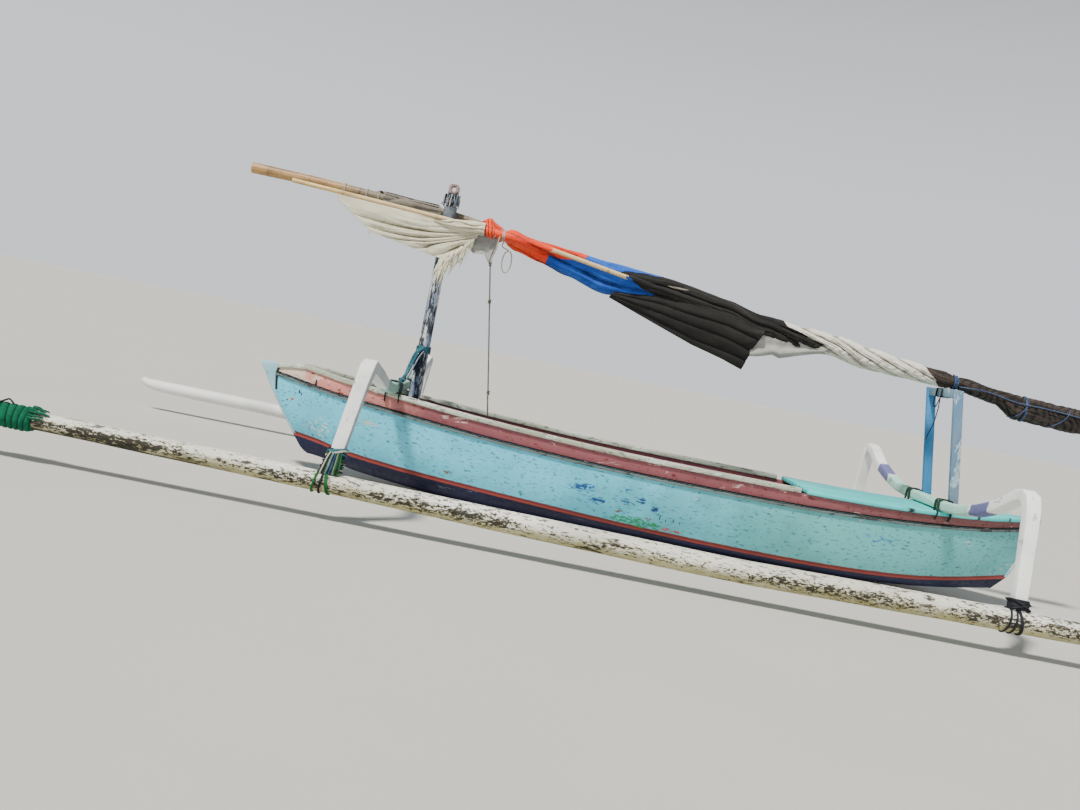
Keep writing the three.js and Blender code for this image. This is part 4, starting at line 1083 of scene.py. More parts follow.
def makeTails():
    # rope ends that hang round the mast under its head, with a few that stick out
    random.seed(tailPlan["seed"])
    made = meshesFor(tailPlan["colours"])
    for k in range(tailPlan["count"]):
        angle = 2 * math.pi * (k + 0.6 * random.random()) / tailPlan["count"]
        loose = k in tailPlan["loose"]
        out = mastTop + 0.014 + 0.006 * random.random()
        drift = 0.5 * (random.random() - 0.5)
        high = tailPlan["top"] - 0.015 * random.random()
        low = tailPlan["foot"] + (0.03 if loose else 0.012) * random.random()
        stops = []
        for f in (0.0, 0.25, 0.5, 0.75, 1.0):
            bulge = 0.006 * math.sin(math.pi * f) * random.random() + (0.03 * f * f if loose else 0.0)
            turn = angle + drift * f
            stops.append((mastMiddle.x + (out + bulge) * math.cos(turn),
                          mastMiddle.y + (out + bulge) * math.sin(turn), high + (low - high) * f))
        colour = tailPlan["colours"][k % len(tailPlan["colours"])]
        tube(smoothLine(stops, 4), tailPlan["rope"], made[colour])
    finishRopes("mast_tails_*", made)


def ringsOnYard(bm, low, high, rope, out, turns, steps, around=8):
    middle, radius = atLength(yardRows, (low + high) / 2)
    path = turnsPath(lambda f: middle + xAxis * (f - 0.5) * (high - low), yAxis, zAxis, radius + out,
                     radius + out, turns, steps)
    return tube(path, rope, bm, around)


makeTails()
slingRope = 0.0048
low, high = boxOf("yard_sling")
slingTurns = ringsOnYard(None, low.x + slingRope, high.x - slingRope, slingRope, slingRope, 4, 30)
finishPiece("yard_sling_turns", slingTurns, "rig", ropes["white"], ("yard_sling",))
print("canoe: mast")

# crutch that holds the furled sail
crutchShadedTones = {
    # coat, second coat, chips down to bare wood from; both coats are the crutch's weathered blues, darkened
    # further as painted shade
    "crutch_post_port": ((84, 118, 148), (120, 140, 154), 0.54),
    "crutch_post_starboard": ((50, 124, 180), (68, 140, 190), 0.63),
    "crutch_bar": ((90, 136, 164), (122, 152, 170), 0.57),
}
for nodeName, (coat, second, chipFrom) in crutchShadedTones.items():
    look = coats(coat, second, (176, 204, 214), (110, 100, 88), (50, 96, 140), fleckFrom=0.62,
                 chipFrom=chipFrom, long=(1, 1, 0.3), grain=(1, 1, 0.1))
    refinedNode(nodeName, wornPaint(nodeName + "_paint", look), 0.005)
crutchRopes = {
    "rope": 0.003, "loose": 0.0045, "places": (-0.06, 0.05),
    # (y, z) of the loop and of the rope end that hang under the bar
    "hanging": [[(-0.05, 1.61), (-0.02, 1.56), (0.02, 1.515), (0.06, 1.525), (0.075, 1.57), (0.065, 1.615)],
                [(-0.045, 1.6), (-0.05, 1.5), (-0.02, 1.38), (0.05, 1.28), (0.07, 1.24)]],
}


def makeCrutchRopes():
    low, high = boxOf("crutch_bar")
    middle, half = (low + high) / 2, (high - low) / 2
    rope = crutchRopes["rope"]
    bm = bmesh.new()
    for place in crutchRopes["places"]:
        tube(turnsPath(lambda f: middle + yAxis * (place + 0.03 * f), xAxis, zAxis, half.x + rope,
                       half.z + rope, 3, 24, 6.0), rope, bm)
    for stops in crutchRopes["hanging"]:
        tube(smoothLine([(low.x - 0.006, y, z) for y, z in stops]), crutchRopes["loose"], bm)
    finishPiece("crutch_ropes", bm, "root", ropes["black"])


makeCrutchRopes()
print("canoe: crutch")

# furled sail: one wrinkled roll made in five lengths of cloth, each turn lapping the next
clothTones = {
    # main, second, soil, thread, deep: painted shade in the folds
    "orange": ((224, 52, 18), (238, 84, 40), (170, 40, 22), (244, 180, 150), (140, 56, 48)),
    "blue": ((18, 70, 164), (38, 104, 196), (14, 46, 112), (120, 160, 226), (84, 92, 120)),
    "charcoal": ((18, 17, 15), (30, 28, 25), (12, 11, 10), (90, 84, 76), (84, 78, 76)),
    "white": ((220, 216, 204), (202, 198, 184), (158, 152, 138), (232, 230, 224), (132, 126, 112)),
    "brown": ((44, 36, 32), (62, 51, 45), (22, 19, 17), (112, 100, 90), (80, 72, 68)),
    "cream": ((218, 212, 188), (192, 188, 164), (150, 144, 122), (236, 232, 220), (122, 116, 94)),
    "grey": ((160, 160, 154), (134, 135, 130), (104, 104, 98), (200, 200, 194), (134, 132, 126)),
    "weathered": ((132, 126, 114), (108, 101, 90), (78, 72, 64), (150, 144, 132), (110, 104, 96)),
}
# a pale streak and a near-black band across the charcoal roll
clothMarks = {"charcoal": [(0.58, 2.046, 0.11, 0.009, 1.0, (132, 124, 112)),
                           (0.545, 2.066, 0.13, 0.017, 1.0, (3, 3, 3))]}
cloths = {key: clothFinish(key + "Sailcloth", *tones, clothMarks.get(key, ()))
          for key, tones in clothTones.items()}
rollPlan = {"around": 120, "step": 0.0105, "fineStep": 0.006, "proud": 0.003, "thick": 0.0016, "slack": 1.06,
            "lapFrom": 196, "turn": 1.05, "lapLift": 0.0025,
            # rings that draw an open end together: how far out, share of the width that is left
            "drawnEnd": [(0.012, 0.72), (0.004, 0.35), (-0.014, 0.06)]}
rollCloths = {
    # border before, border after, how far the cloth runs on under the one before, lift
    "orange": ("tip", "orangeBlue", 0.0, 0.0022),
    "blue": ("orangeBlue", "blueCharcoal", 0.05, 0.0),
    "charcoal": ("blueCharcoal", "charcoalWhite", 0.07, -0.0026),
    "white": ("charcoalWhite", "whiteBrown", 0.07, -0.0052),
    "brown": ("whiteBrown", "end", 0.06, -0.0078),
}
borders = {
    # where one cloth ends on the next, as (degrees, x)
    "tip": [(0, -1.07), (60, -1.085), (120, -1.06), (180, -1.05), (270, -1.06)],
    "orangeBlue": [(0, -0.17), (30, -0.19), (60, -0.23), (76, -0.29), (85, -0.38), (94, -0.49), (130, -0.5),
                   (180, -0.5), (270, -0.3)],
    "blueCharcoal": [(0, 0.46), (18, 0.46), (32, 0.3), (44, 0.14), (56, 0.1), (70, 0.15), (84, 0.21),
                     (100, 0.28), (116, 0.36), (130, 0.45), (140, 0.43), (150, 0.14), (165, 0.06),
                     (200, 0.08), (300, 0.44)],
    "charcoalWhite": [(0, 1.47), (40, 1.5), (80, 1.7), (104, 1.84), (124, 1.8), (150, 1.66), (200, 1.56),
                      (300, 1.48)],
    "whiteBrown": [(0, 2.66), (60, 2.7), (120, 2.79), (180, 2.84), (260, 2.74)],
    "end": [(0, 4.09), (90, 4.06), (180, 4.07), (270, 4.09)],
}
rollTies = [
    # x, share drawn in, half width of the draw
    (-0.868, 0.34, 0.024), (2.955, 0.18, 0.03), (3.545, 0.09, 0.025), (3.82, 0.05, 0.03),
]
rollSwells = [
    # x, how far the cloth bulges out, half length
    (-0.99, 0.02, 0.055), (-0.78, 0.014, 0.05), (2.86, 0.006, 0.05), (3.1, 0.006, 0.08),
]
rollFolds = {
    # measures against x; the twist is in turns from the tip
    "count": 5, "gatherFrom": 2.8, "gather": 0.018,
    "twist": [(-1.1, 0.0), (-0.2, 0.1), (1.4, 0.22), (1.7, 0.38), (2.8, 1.28), (4.1, 1.5)],
    "deep": [(-1.1, 0.022), (-0.8, 0.028), (0.0, 0.036), (1.5, 0.036), (2.0, 0.03), (2.8, 0.022),
             (3.1, 0.012), (4.1, 0.014)],
    "fine": [(-1.1, 0.014), (-0.86, 0.02), (-0.4, 0.016), (1.4, 0.01), (2.0, 0.013), (2.8, 0.013),
             (3.1, 0.005), (4.1, 0.006)],
}
# the thin spar beside the roll: where it lies, how softly that ends, and where the cloth goes over it
sparBeside = {"fore": -1.12, "foreSoft": 0.05, "aft": 0.55, "aftSoft": 0.12, "cover": 0.027, "tight": 0.74,
              "overFore": -0.46, "overForeSoft": 0.12, "overAft": 0.14, "overAftSoft": 0.08}


def rollRows():
    # x, middle height, half height and half width of each ring of the furled roll
    found = {}
    for cloth in rollCloths:
        counts = {}
        for vert in nodes["sail_" + cloth].data.vertices:
            counts.setdefault(round(vert.co.x, 3), set()).add((round(vert.co.y, 4), round(vert.co.z, 4)))
        found.update((x, ring) for x, ring in counts.items() if len(ring) >= 12)
    rows = []
    corner = math.cos(math.pi / 12)
    for x, ring in sorted(found.items()):
        if rows and x - rows[-1][0] < 0.002:
            continue
        high = max(z for y, z in ring)
        low = min(z for y, z in ring)
        rows.append((x, (high + low) / 2, (high - low) / 2 / corner, max(abs(y) for y, z in ring) / corner))
    return rows


rollTable = rollRows()


def rollAt(x):
    if x <= rollTable[0][0]:
        return rollTable[0][1:]
    for first, second in zip(rollTable, rollTable[1:]):
        if x <= second[0]:
            f = (x - first[0]) / (second[0] - first[0])
            f = f * f * (3 - 2 * f) * 0.5 + f * 0.5
            return tuple(a + (b - a) * f for a, b in zip(first[1:], second[1:]))
    return rollTable[-1][1:]


def lobe(phase):
    # one rounded fold of cloth, with a sharp crease on each side
    f = phase % 1.0
    return (4.0 * f * (1.0 - f)) ** 0.6


def foldDepth(x, angle):
    turn = angle / (2 * math.pi) - tableAt(rollFolds["twist"], x)
    c, s = math.cos(angle) * 0.7, math.sin(angle) * 0.7
    sway = waves(x * 0.55, c, s + 5.0)
    depth = tableAt(rollFolds["deep"], x) * (1.0 - lobe(rollFolds["count"] * turn + 0.85 * sway))
    small = waves(x * 1.1, c * 2.4 + 9.0, s * 2.4)
    depth += tableAt(rollFolds["fine"], x) * (1.0 - lobe(rollFolds["count"] * 3 * turn + 1.7 * small + 0.31))
    depth += 0.005 * (waves(x * 5.0, c * 3.0, s * 3.0 + 2.0) + 0.4)
    depth += 0.007 * abs(waves(x * 9.0 - 14.0 * turn, c * 7.0, s * 7.0 + 4.0))
    gathered = min(1.0, max(0.0, (x - rollFolds["gatherFrom"]) * 5))
    if gathered:  # drawn in across by its cords
        pleat = x * 16.0 + 1.5 * waves(x * 5.0, c * 0.9, s * 0.9) + 0.8 * math.sin(angle)
        strength = min(1.0, 0.3 + 1.7 * abs(waves(x * 3.4, c * 1.6, s * 1.6)))
        depth += rollFolds["gather"] * (1.0 - lobe(pleat)) * gathered * strength
    return depth


def sparReach(x, angle, middle, over):
    # how far out the cloth lies beside the thin spar, or over it where it is covered
    centre, radius = atLength(boomRows, x)
    across, up = centre.y, centre.z - middle
    dy, dz = -math.sin(angle), math.cos(angle)
    ahead = across * dy + up * dz
    aside = abs(across * dz - up * dy)
    tight = radius * sparBeside["tight"]
    cover = tight + (sparBeside["cover"] - tight) * over
    if ahead <= 0 or aside > 3.0 * cover:
        return 0.0
    if aside < cover:
        return ahead + math.sqrt(cover * cover - aside * aside)
    f = (aside - cover) / (2.0 * cover)
    return ahead * (1.0 - 0.3 * f * f * (3 - 2 * f))


def rollPoint(x, angle, lift):
    middle, halfHigh, halfWide = rollAt(x)
    outline = 0.4 + 0.6 * abs(math.sin(angle - 0.07)) ** 0.7
    depth = foldDepth(x, angle) * outline * min(1.0, (halfHigh + halfWide) * 5.5)
    drawn = 1.0
    for place, out, width in rollSwells:
        depth -= out * math.exp(-((x - place) / width) ** 2)
    for place, share, width in rollTies:
        drawn -= share * math.exp(-((x - place) / width) ** 2)
    high, wide = ((half + rollPlan["proud"] - depth) * drawn + lift for half in (halfHigh, halfWide))
    reach = 1.0 / math.hypot(math.sin(angle) / wide, math.cos(angle) / high)
    spar = sparBeside
    if spar["fore"] < x < spar["aft"]:
        beside = min(1.0, (x - spar["fore"]) / spar["foreSoft"], (spar["aft"] - x) / spar["aftSoft"])
        foreOver = max(0.0, spar["overFore"] - x) / spar["overForeSoft"]
        aftOver = max(0.0, x - spar["overAft"]) / spar["overAftSoft"]
        reach += beside * max(0.0, sparReach(x, angle, middle, min(1.0, foreOver + aftOver)) + lift - reach)
    return Vector((x, -reach * math.sin(angle), middle + reach * math.cos(angle)))


def edgeAround(table, angle):
    # x of a cloth's border at an angle, 0 at the top and growing towards port
    degrees = math.degrees(angle) % 360
    closed = table + [(table[0][0] + 360, table[0][1])]
    for (a, x0), (b, x1) in zip(closed, closed[1:]):
        if a <= degrees <= b:
            f = (degrees - a) / (b - a)
            return x0 + (x1 - x0) * f * f * (3 - 2 * f)
    return closed[0][1]


def girthAt(x):
    middle, high, wide = rollAt(x)
    return math.pi * (3 * (high + wide) - math.sqrt((3 * high + wide) * (high + 3 * wide)))


def finishGathered(name, bm, cloth, replaced=()):
    piece = finishPiece(name, bm, "rig", cloths[cloth], replaced)


def makeRoll(cloth, before, after, under, lift):
    starts = [x for degrees, x in borders[before]]
    ends = [x for degrees, x in borders[after]]
    longest = max(ends) - min(starts)
    cutLength = sum(ends) / len(ends) - sum(starts) / len(starts) + under
    girth = girthAt((min(starts) + max(ends)) / 2) * rollPlan["slack"]

    def placeAt(u, v):
        angle = math.radians(rollPlan["lapFrom"]) + 2 * math.pi * rollPlan["turn"] * v
        first = edgeAround(borders[before], angle) - under
        return first + (edgeAround(borders[after], angle) - first) * u, angle

    def pointAt(u, v):
        return rollPoint(*placeAt(u, v), lift + rollPlan["lapLift"] * v)

    # how deep in a fold each point lies, for the painted shade there
    def hollowAt(u, v):
        x, angle = placeAt(u, v)
        return foldDepth(x, angle) / (tableAt(rollFolds["deep"], x) + tableAt(rollFolds["fine"], x))

    step = rollPlan["fineStep" if cloth == "brown" else "step"]
    bm = shapedGrid(int(longest / step), rollPlan["around"], pointAt, (longest, girth), None, hollowAt)
    if before == "tip" or after == "end":  # the outer end is drawn together
        away = -1 if before == "tip" else 1
        rims = [e for e in bm.edges if e.is_boundary]
        border = max(away * e.verts[0].co.x for e in rims)
        rim = [e for e in rims if abs(away * e.verts[0].co.x - border) < 0.06
               and abs(e.verts[0].co.x - e.verts[1].co.x) < step * 0.5]
        for reach, squeeze in rollPlan["drawnEnd"]:
            made = bmesh.ops.extrude_edge_only(bm, edges=rim)["geom"]
            rim = [item for item in made if isinstance(item, bmesh.types.BMEdge)]
            ring = [item for item in made if isinstance(item, bmesh.types.BMVert)]
            centre = sum((vert.co for vert in ring), Vector()) / len(ring)
            for vert in ring:
                vert.co.x += away * reach
                vert.co.y = centre.y + (vert.co.y - centre.y) * squeeze
                vert.co.z = centre.z + (vert.co.z - centre.z) * squeeze
    bmesh.ops.recalc_face_normals(bm, faces=bm.faces)
    finishGathered(f"sail_{cloth}_cloth", bm, cloth,
                   ("sail_" + cloth,))


knotTurn = {"along": 90, "across": 24, "start": -1.045, "reach": 0.13, "width": 0.09, "from": -50,
            "turn": 330, "lift": 0.002, "swell": 0.014, "pleat": 0.009}


def makeKnotTurn():
    # one bunched turn of cloth that crosses the knot at the tip of the furled sail
    plan = knotTurn

    def pleatAt(u, v):
        return lobe(2.6 * v + 0.6 * u + 0.4 * waves(u * 3, v, 0.0))

    def pointAt(u, v):
        x = plan["start"] + plan["reach"] * u + plan["width"] * (v - 0.5) * (1 - 0.3 * u)
        swell = math.sin(math.pi * v) * (0.4 + 0.6 * math.sin(math.pi * u))
        lift = plan["lift"] + plan["swell"] * swell + plan["pleat"] * pleatAt(u, v)
        return rollPoint(x, math.radians(plan["from"] + plan["turn"] * u), lift)

    # painted shade in the pleats of the turn and where its edges tuck in
    def hollowAt(u, v):
        return 1.1 - pleatAt(u, v) + 4 * (v - 0.5) ** 4

    bm = shapedGrid(plan["along"], plan["across"], pointAt, (0.42, 0.08), None, hollowAt)
    finishGathered("sail_knot_turn", bm, "orange")


for cloth, plan in rollCloths.items():
    makeRoll(cloth, *plan)
makeKnotTurn()
print("canoe: furled sail")

# loose cloths: the charcoal flap under the roll, the white corner beside it, and the cream cloth
# with its ragged edge under the thin spar; the drawn lines are (x, z)
flapPlan = {
    "lower": [(0.05, 1.868), (0.44, 1.735), (0.782, 1.622), (1.05, 1.556), (1.215, 1.503), (1.235, 1.56),
              (1.27, 1.68), (1.31, 1.76)],
    "hem": [(0.05, 1.868), (0.44, 1.735), (0.782, 1.622), (1.05, 1.556), (1.36, 1.462)],
    "start": 0.08, "reach": 1.26, "along": 130, "down": 64, "y": -0.062, "wave": 0.026, "drape": 0.018,
    "pleats": 4.0, "flat": (1.3, 0.4), "area": 0.42,
}
cornerPlan = {
    "lower": [(1.24, 1.62), (1.33, 1.635), (1.44, 1.67), (1.5, 1.652), (1.66, 1.705), (1.78, 1.742),
              (1.9, 1.775)],
    "start": 1.24, "reach": 0.66, "angle": 122, "sunk": -0.012, "along": 70, "down": 30, "wave": 0.014,
    "flat": (0.7, 0.18), "area": 0.09,
}
creamPlan = {
    # outer border from the fore end of the spar down to the low corner
    "border": [(-2.25, 2.252), (-2.225, 2.2), (-2.14, 2.15), (-2.0, 2.06), (-1.91, 2.005), (-1.7, 1.972),
               (-1.5, 1.935), (-1.34, 1.908), (-1.296, 1.9)],
    "along": 190, "down": 84, "y": -0.102, "wave": 0.03, "sag": 0.06, "knot": (-1.06, 2.196), "gather": 0.07,
    "flat": (1.2, 0.4), "area": 0.29,
}
tailCloth = {
    "lower": [(-1.16, 2.06), (-1.09, 2.0), (-1.0, 2.01), (-0.945, 1.935), (-0.93, 2.04), (-0.905, 2.13)],
    "along": 46, "down": 26, "wave": 0.012, "flat": (0.32, 0.2), "area": 0.042,
}
gatherPlan = {
    "spine": [(-1.46, -0.098, 2.212), (-1.36, -0.104, 2.206), (-1.24, -0.108, 2.203), (-1.12, -0.105, 2.204),
              (-1.03, -0.1, 2.205)],
    "along": 48, "around": 60, "from": 200, "turn": 378, "folds": 7, "deep": 0.016,
}


def onLine(points, share):
    # point at a share of the length of a drawn line
    sizes = [math.dist(a, b) for a, b in zip(points, points[1:])]
    left = share * sum(sizes)
    for a, b, size in zip(points, points[1:], sizes):
        if left <= size:
            f = left / max(size, 1e-9)
            return (a[0] + (b[0] - a[0]) * f, a[1] + (b[1] - a[1]) * f)
        left -= size
    return points[-1]


def finishHung(name, cloth, plan, pointAt, hollowAt=None, replaced=()):
    bm = shapedGrid(plan["along"], plan["down"], pointAt, plan["flat"], None, hollowAt)
    piece = finishPiece(name, bm, "rig", cloths[cloth], replaced)
    wall = piece.modifiers.new("clothWall", "SOLIDIFY")
    wall.thickness = rollPlan["thick"]
    wall.offset = 0.0


def makeFlap():
    plan = flapPlan

    def flatPoint(u, v):
        angle = math.radians(144 - 40 * min(1.0, 1.6 * u))
        top = rollPoint(plan["start"] + plan["reach"] * u, angle, 0.001)
        lowX, lowZ = onLine(plan["lower"], u)
        return top.lerp(Vector((lowX, plan["y"], lowZ)), v)

    upper = [(p.x, p.z) for p in (flatPoint(k / 12, 0.0) for k in range(13))]

    def foldAt(u, v):
        # folds fan out from the fore corner and run straight on to the end edge
        point = flatPoint(u, v)
        top = tableAt(upper, point.x)
        down = (top - point.z) / max(0.02, top - tableAt(plan["hem"], point.x))
        return lobe(plan["pleats"] * down * (0.8 + 0.2 * u) + 0.22 * waves(u * 2.4, down * 2, 3))

    def pointAt(u, v):
        point = flatPoint(u, v)
        folded = plan["wave"] * (0.25 + 0.75 * u) * foldAt(u, v) * min(1.0, 5 * v)
        point.y -= folded + plan["drape"] * math.sin(math.pi * v)
        point.y += 0.006 * waves(u * 9, v * 5, 1.0)
        return point

    # painted shade down in the folds of the flap
    def hollowAt(u, v):
        return (1.05 - foldAt(u, v)) * min(1.0, 5 * v) * (0.5 + 0.5 * u)

    finishHung("sail_flap_cloth", "charcoal", plan, pointAt,
               hollowAt, ("sail_flap",))


def cornerPoint(u, v):
    plan = cornerPlan
    top = rollPoint(plan["start"] + plan["reach"] * u, math.radians(plan["angle"]), plan["sunk"])
    lowX, lowZ = onLine(plan["lower"], u)
    point = top.lerp(Vector((lowX, -0.075 + 0.02 * u, lowZ)), v)
    point.y -= plan["wave"] * math.sin(9 * v + 3 * u) * v
    return point


def tailPoint(u, v):
    # the greyer end of the cream cloth behind it, whose corner holds the line
    lowX, lowZ = onLine(tailCloth["lower"], u)
    point = Vector((-1.17 + 0.28 * u, -0.075, 2.15 + 0.01 * u)).lerp(Vector((lowX, -0.08, lowZ)), v)
    point.y -= tailCloth["wave"] * math.sin(11 * v + 8 * u) * v
    return point


def creamFold(u, v):
    fold = lobe(5.2 * u ** 0.8 + 1.1 * waves(u * 2.4, v * 1.5, 7.0))
    fine = lobe(15 * u + 2.2 * waves(u * 4, v * 2.2, 3.0))
    return fold, fine, math.sin(math.pi * min(1.0, 0.05 + 0.85 * v))


# painted shade down in the folds of the cream cloth
def creamHollow(u, v):
    fold, fine, free = creamFold(u, v)
    return (1.0 - fold) * free + 0.7 * (1.0 - fine) * v * free


def creamPoint(u, v):
    # u runs along the outer border, v from the border up to the knot where all the folds meet
    plan = creamPlan
    outX, outZ = onLine(plan["border"], u)
    knotX, knotZ = plan["knot"]
    start = Vector((outX, plan["y"], outZ))
    point = start.lerp(Vector((knotX - 0.02 * u, plan["y"], knotZ - plan["gather"] * u)), v)
    sag = plan["sag"] * math.sin(math.pi * min(1.0, u * 1.12) ** 0.7) if u < 0.89 else 0.0
    point.z -= sag * 4 * v * (1 - v)
    fold, fine, free = creamFold(u, v)
    held = min(1.0, 12 * u) * (0.2 + 0.8 * free)
    point.y -= plan["wave"] * (fold - 0.55) * held * (1 - 0.45 * v) + 0.011 * (fine - 0.5) * held * v
    point.y += 0.004 * waves(u * 14, v * 7, 2.0)
    return point


fringePlan = {"strips": 34, "threads": 60, "torn": 12, "seed": 41, "thread": 0.0018, "thick": 0.0012}


def makeFringe():
    # torn strips and threads that hang from the cream cloth's aft edge
    random.seed(fringePlan["seed"])
    bm = bmesh.new()
    whole = fringePlan["strips"] + fringePlan["threads"]
    for k in range(whole + fringePlan["torn"]):
        v = 0.9 * random.random() ** 1.1
        start = creamPoint(1.0 - 0.04 * random.random(), v)
        length = (0.12 + 0.15 * random.random()) * (1 - 0.3 * v)
        lean = -0.1 - 0.35 * random.random()
        width = fringePlan["thread"]
        if k < fringePlan["strips"]:
            width = (0.022 + 0.034 * random.random()) * (1 - 0.3 * v)
        if k >= whole:  # threads torn out near the fore end
            start = creamPoint(0.36 + 0.03 * random.random(), 0.01)
            length = 0.03 + 0.05 * random.random()
        curl = random.random() * 6.0
        wavy = 0.012 * random.random()

        def pointAt(a, b):
            swing = Vector((lean * length * a + wavy * math.sin(5 * a + curl),
                            wavy * math.sin(7 * a + 2 * curl), -length * a))
            side = Vector((0.9, 0.5 * math.sin(curl + 3 * a), 0.3 * math.cos(curl)))
            return start + swing + side * (b - 0.5) * width * (1.1 - a)

        shapedGrid(8, 2, pointAt, (length, width), bm)
    piece = finishPiece("sail_cream_fringe", bm, "rig", cloths["cream"])
    piece.modifiers.new("threadWall", "SOLIDIFY").thickness = fringePlan["thick"]
    return piece


def makeGather():
    # cream cloth bunched round the thin spar between the mast and the orange knot
    plan = gatherPlan
    spine = smoothLine(plan["spine"], 12)

    def foldAt(u, angle):
        return lobe(plan["folds"] * angle / (2 * math.pi) + 0.7 * u + 0.8 * waves(u * 3, angle, 0))

    def angleAt(v):
        return math.radians(plan["from"] + plan["turn"] * v)

    def pointAt(u, v):
        angle = angleAt(v)
        swell = 0.02 + 0.03 * math.sin(math.pi * 0.6 * u) ** 0.8
        reach = swell - plan["deep"] * (1 - foldAt(u, angle)) * min(1.0, 0.2 + 3 * u) + 0.003 * v
        first = 0.3 * (0.5 + 0.5 * math.cos(angle - math.radians(20)))
        place = (first + (1 - first) * u) * (len(spine) - 1)
        k = min(int(place), len(spine) - 2)
        return spine[k].lerp(spine[k + 1], place - k) + outward(angle) * reach

    # painted shade down in the folds of the gathered cloth
    bm = shapedGrid(plan["along"], plan["around"], pointAt, (0.43, 0.25), None,
                    lambda u, v: 1.0 - foldAt(u, angleAt(v)))
    finishGathered("sail_cream_gather", bm, "cream")


makeFlap()
finishHung("sail_white_corner", "grey", cornerPlan, cornerPoint)
fringe = makeFringe()
finishHung("sail_cream_cloth", "cream", creamPlan, creamPoint, creamHollow,
           ("sail_cream",))
finishHung("sail_grey_tail", "grey", tailCloth, tailPoint)
makeGather()
print("canoe: loose cloths")

# rope on the rig: ties round the furled sail, cords along its after end, and the taut line to the gunwale
rigRopes = {
    "off": 0.8,  # how far a rope's middle lies off the cloth, as a share of its radius
    "knotTie": {"x": -0.868, "turns": 2, "rope": 0.0056, "pitch": 2.4},
    "knotTail": (0.00448, [(-0.87, 20), (-0.9, 60), (-0.94, 105), (-0.95, 150)]),
    "crossTies": {"rope": 0.0048, "places": [(2.955, 4), (3.545, 2)]},
    "cords": [
        # radius, stops as x and degrees round the roll
        (0.0045, [(2.98, 118), (3.1, 96), (3.25, 82), (3.45, 72), (3.65, 66), (3.85, 62), (4.02, 70)]),
        (0.004, [(3.56, 30), (3.55, 70), (3.51, 110), (3.47, 150), (3.45, 200)]),
        (0.004, [(3.9, 40), (3.88, 80), (3.82, 120), (3.76, 160), (3.74, 210)]),
    ],
    "line": {"top": (-0.937, -0.083, 1.937), "foot": (-0.71, -0.41, 0.762), "cast": 0.93, "rope": 0.006,
             "knotRope": 0.004, "knotLong": 0.03, "gap": 0.014, "sunk": 0.005},
    "yardTies": {"places": (-2.232, -2.048, -1.949), "half": 0.008, "rope": 0.0035, "out": 0.003},
    "loop": {"x": -0.815, "z": 1.99, "halfX": 0.038, "halfZ": 0.09, "rope": 0.0048, "neckRope": 0.0062},
}
sleevePlan = {"start": -1.95, "end": -1.43, "over": 0.004, "lift": 0.012, "along": 60, "around": 48,
              "from": 200, "turn": 380,
              "cords": [(0.45, 0.0035), (1.0, 0.003)]}  # angle and radius of each


def onRoll(stops, rope):
    return [rollPoint(x, math.radians(degrees), rope * rigRopes["off"]) for x, degrees in stops]


def tieTurns(bm, x, turns, rope, pitch=2.02, steps=40):
    stops = [(x + (k / steps - turns / 2) * rope * pitch, 360.0 * k / steps)
             for k in range(turns * steps + 1)]
    return tube(onRoll(stops, rope), rope, bm)


def makeRollTies():
    bm = tieTurns(None, **rigRopes["knotTie"])
    rope, stops = rigRopes["knotTail"]
    tube(smoothLine(onRoll(stops, rope)), rope, bm)
    finishPiece("knot_tie", bm, "rig", ropes["white"])
    bm = bmesh.new()
    for x, turns in rigRopes["crossTies"]["places"]:
        tieTurns(bm, x, turns, rigRopes["crossTies"]["rope"])
    for rope, stops in rigRopes["cords"]:
        tube(smoothLine(onRoll(stops, rope)), rope, bm)
    finishPiece("sail_cords", bm, "rig", ropes["blue"])


def makeLine():
    # two pieces with a small gap, so that the upper one can swing with the sail
    line = rigRopes["line"]
    top, foot = Vector(line["top"]), Vector(line["foot"])
    cast = top.lerp(foot, (top.z - line["cast"]) / (top.z - foot.z))
    bm = tube([top.lerp(cast, k / 40) for k in range(41)], line["rope"])
    knots = [(top + zAxis * 0.004, 0.009), (top.lerp(foot, 0.25), 0.01), (cast + zAxis * 0.006, 0.009)]
    for knotAt, size in knots:
        path = turnsPath(lambda f: knotAt + zAxis * (f - 0.5) * line["knotLong"], xAxis, yAxis, size, size,
                         3, 16)
        tube(path, line["knotRope"], bm)
    finishPiece("sail_line_upper", bm, "rig", ropes["line"])
    hook, end = cast - zAxis * line["gap"], foot - zAxis * line["sunk"]
    bm = tube([hook.lerp(end, k / 12) for k in range(13)], line["rope"])
    finishPiece("sail_line_lower", bm, "root", ropes["line"])


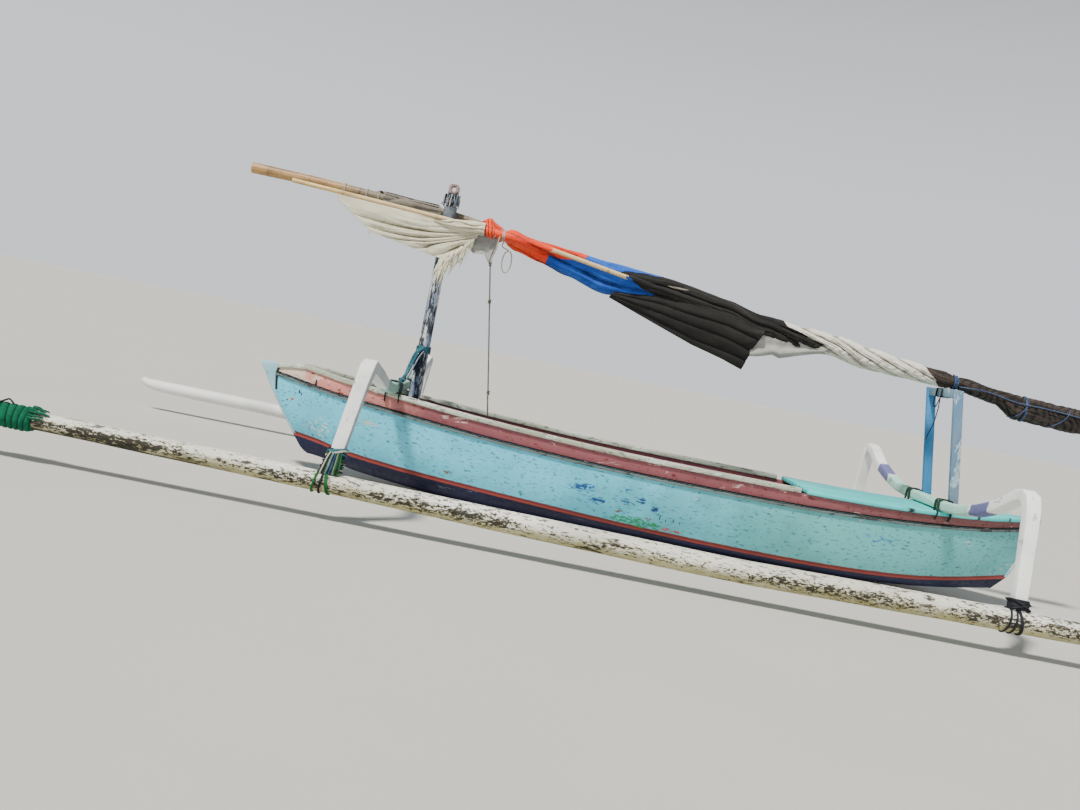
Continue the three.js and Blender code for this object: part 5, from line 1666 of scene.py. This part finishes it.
def sleeveAt(x, angle, above):
    centre, radius = atLength(yardRows, x)
    fold = lobe(4 * angle / (2 * math.pi) + 1.6 * (x + 2) + 0.6 * waves(x * 4, angle, 0))
    return centre + outward(angle) * (radius + sleevePlan["over"] + sleevePlan["lift"] * fold + above)


def makeYardDressing():
    # white ties, the cloth left on the yard, and two dark cords along it
    ties = rigRopes["yardTies"]
    bm = bmesh.new()
    for x in ties["places"]:
        ringsOnYard(bm, x - ties["half"], x + ties["half"], ties["rope"], ties["out"], 2, 24, 6)
    finishPiece("yard_ties", bm, "rig", ropes["white"])
    start, span = sleevePlan["start"], sleevePlan["end"] - sleevePlan["start"]

    def sleevePoint(u, v):
        angle = math.radians(sleevePlan["from"] + sleevePlan["turn"] * v)
        return sleeveAt(start + 0.05 * math.sin(angle) + span * u * 0.93, angle, 0.002 * v)

    bm = shapedGrid(sleevePlan["along"], sleevePlan["around"], sleevePoint, (0.55, 0.24))
    finishGathered("yard_sleeve", bm, "weathered")
    bm = bmesh.new()
    for angle, rope in sleevePlan["cords"]:
        places = [start + 0.06 + (span - 0.08) * k / 39 for k in range(40)]
        tube([sleeveAt(x, angle, rope * 0.7) for x in places], rope, bm, 6)
    finishPiece("yard_cords", bm, "rig", ropes["black"])


def makeKnotLoop():
    # hanging loop, and the rope that runs from the neck to the line
    loop = rigRopes["loop"]
    hang = rollPoint(-0.862, math.radians(150), 0.004)
    stops = [hang, hang + Vector((-0.012, -0.004, -0.05))]
    for k in range(11):
        angle = math.pi * (0.5 + 2 * k / 10 * 0.95)
        stops.append((loop["x"] + loop["halfX"] * math.cos(angle), hang.y - 0.006 * math.sin(angle * 2),
                      loop["z"] + loop["halfZ"] * math.sin(angle)))
    bm = tube(smoothLine(stops, 5), loop["rope"])
    top = Vector(rigRopes["line"]["top"])
    stops = [rollPoint(-0.872, math.radians(60), 0.005), rollPoint(-0.9, math.radians(105), 0.006),
             (-0.915, -0.1, 2.06), top + Vector((0.004, -0.004, 0.06)), top]
    tube(smoothLine(stops), loop["neckRope"], bm)
    finishPiece("knot_loop", bm, "rig", ropes["white"])


makeRollTies()
makeLine()
makeYardDressing()
makeKnotLoop()
print("canoe: rig ropes")
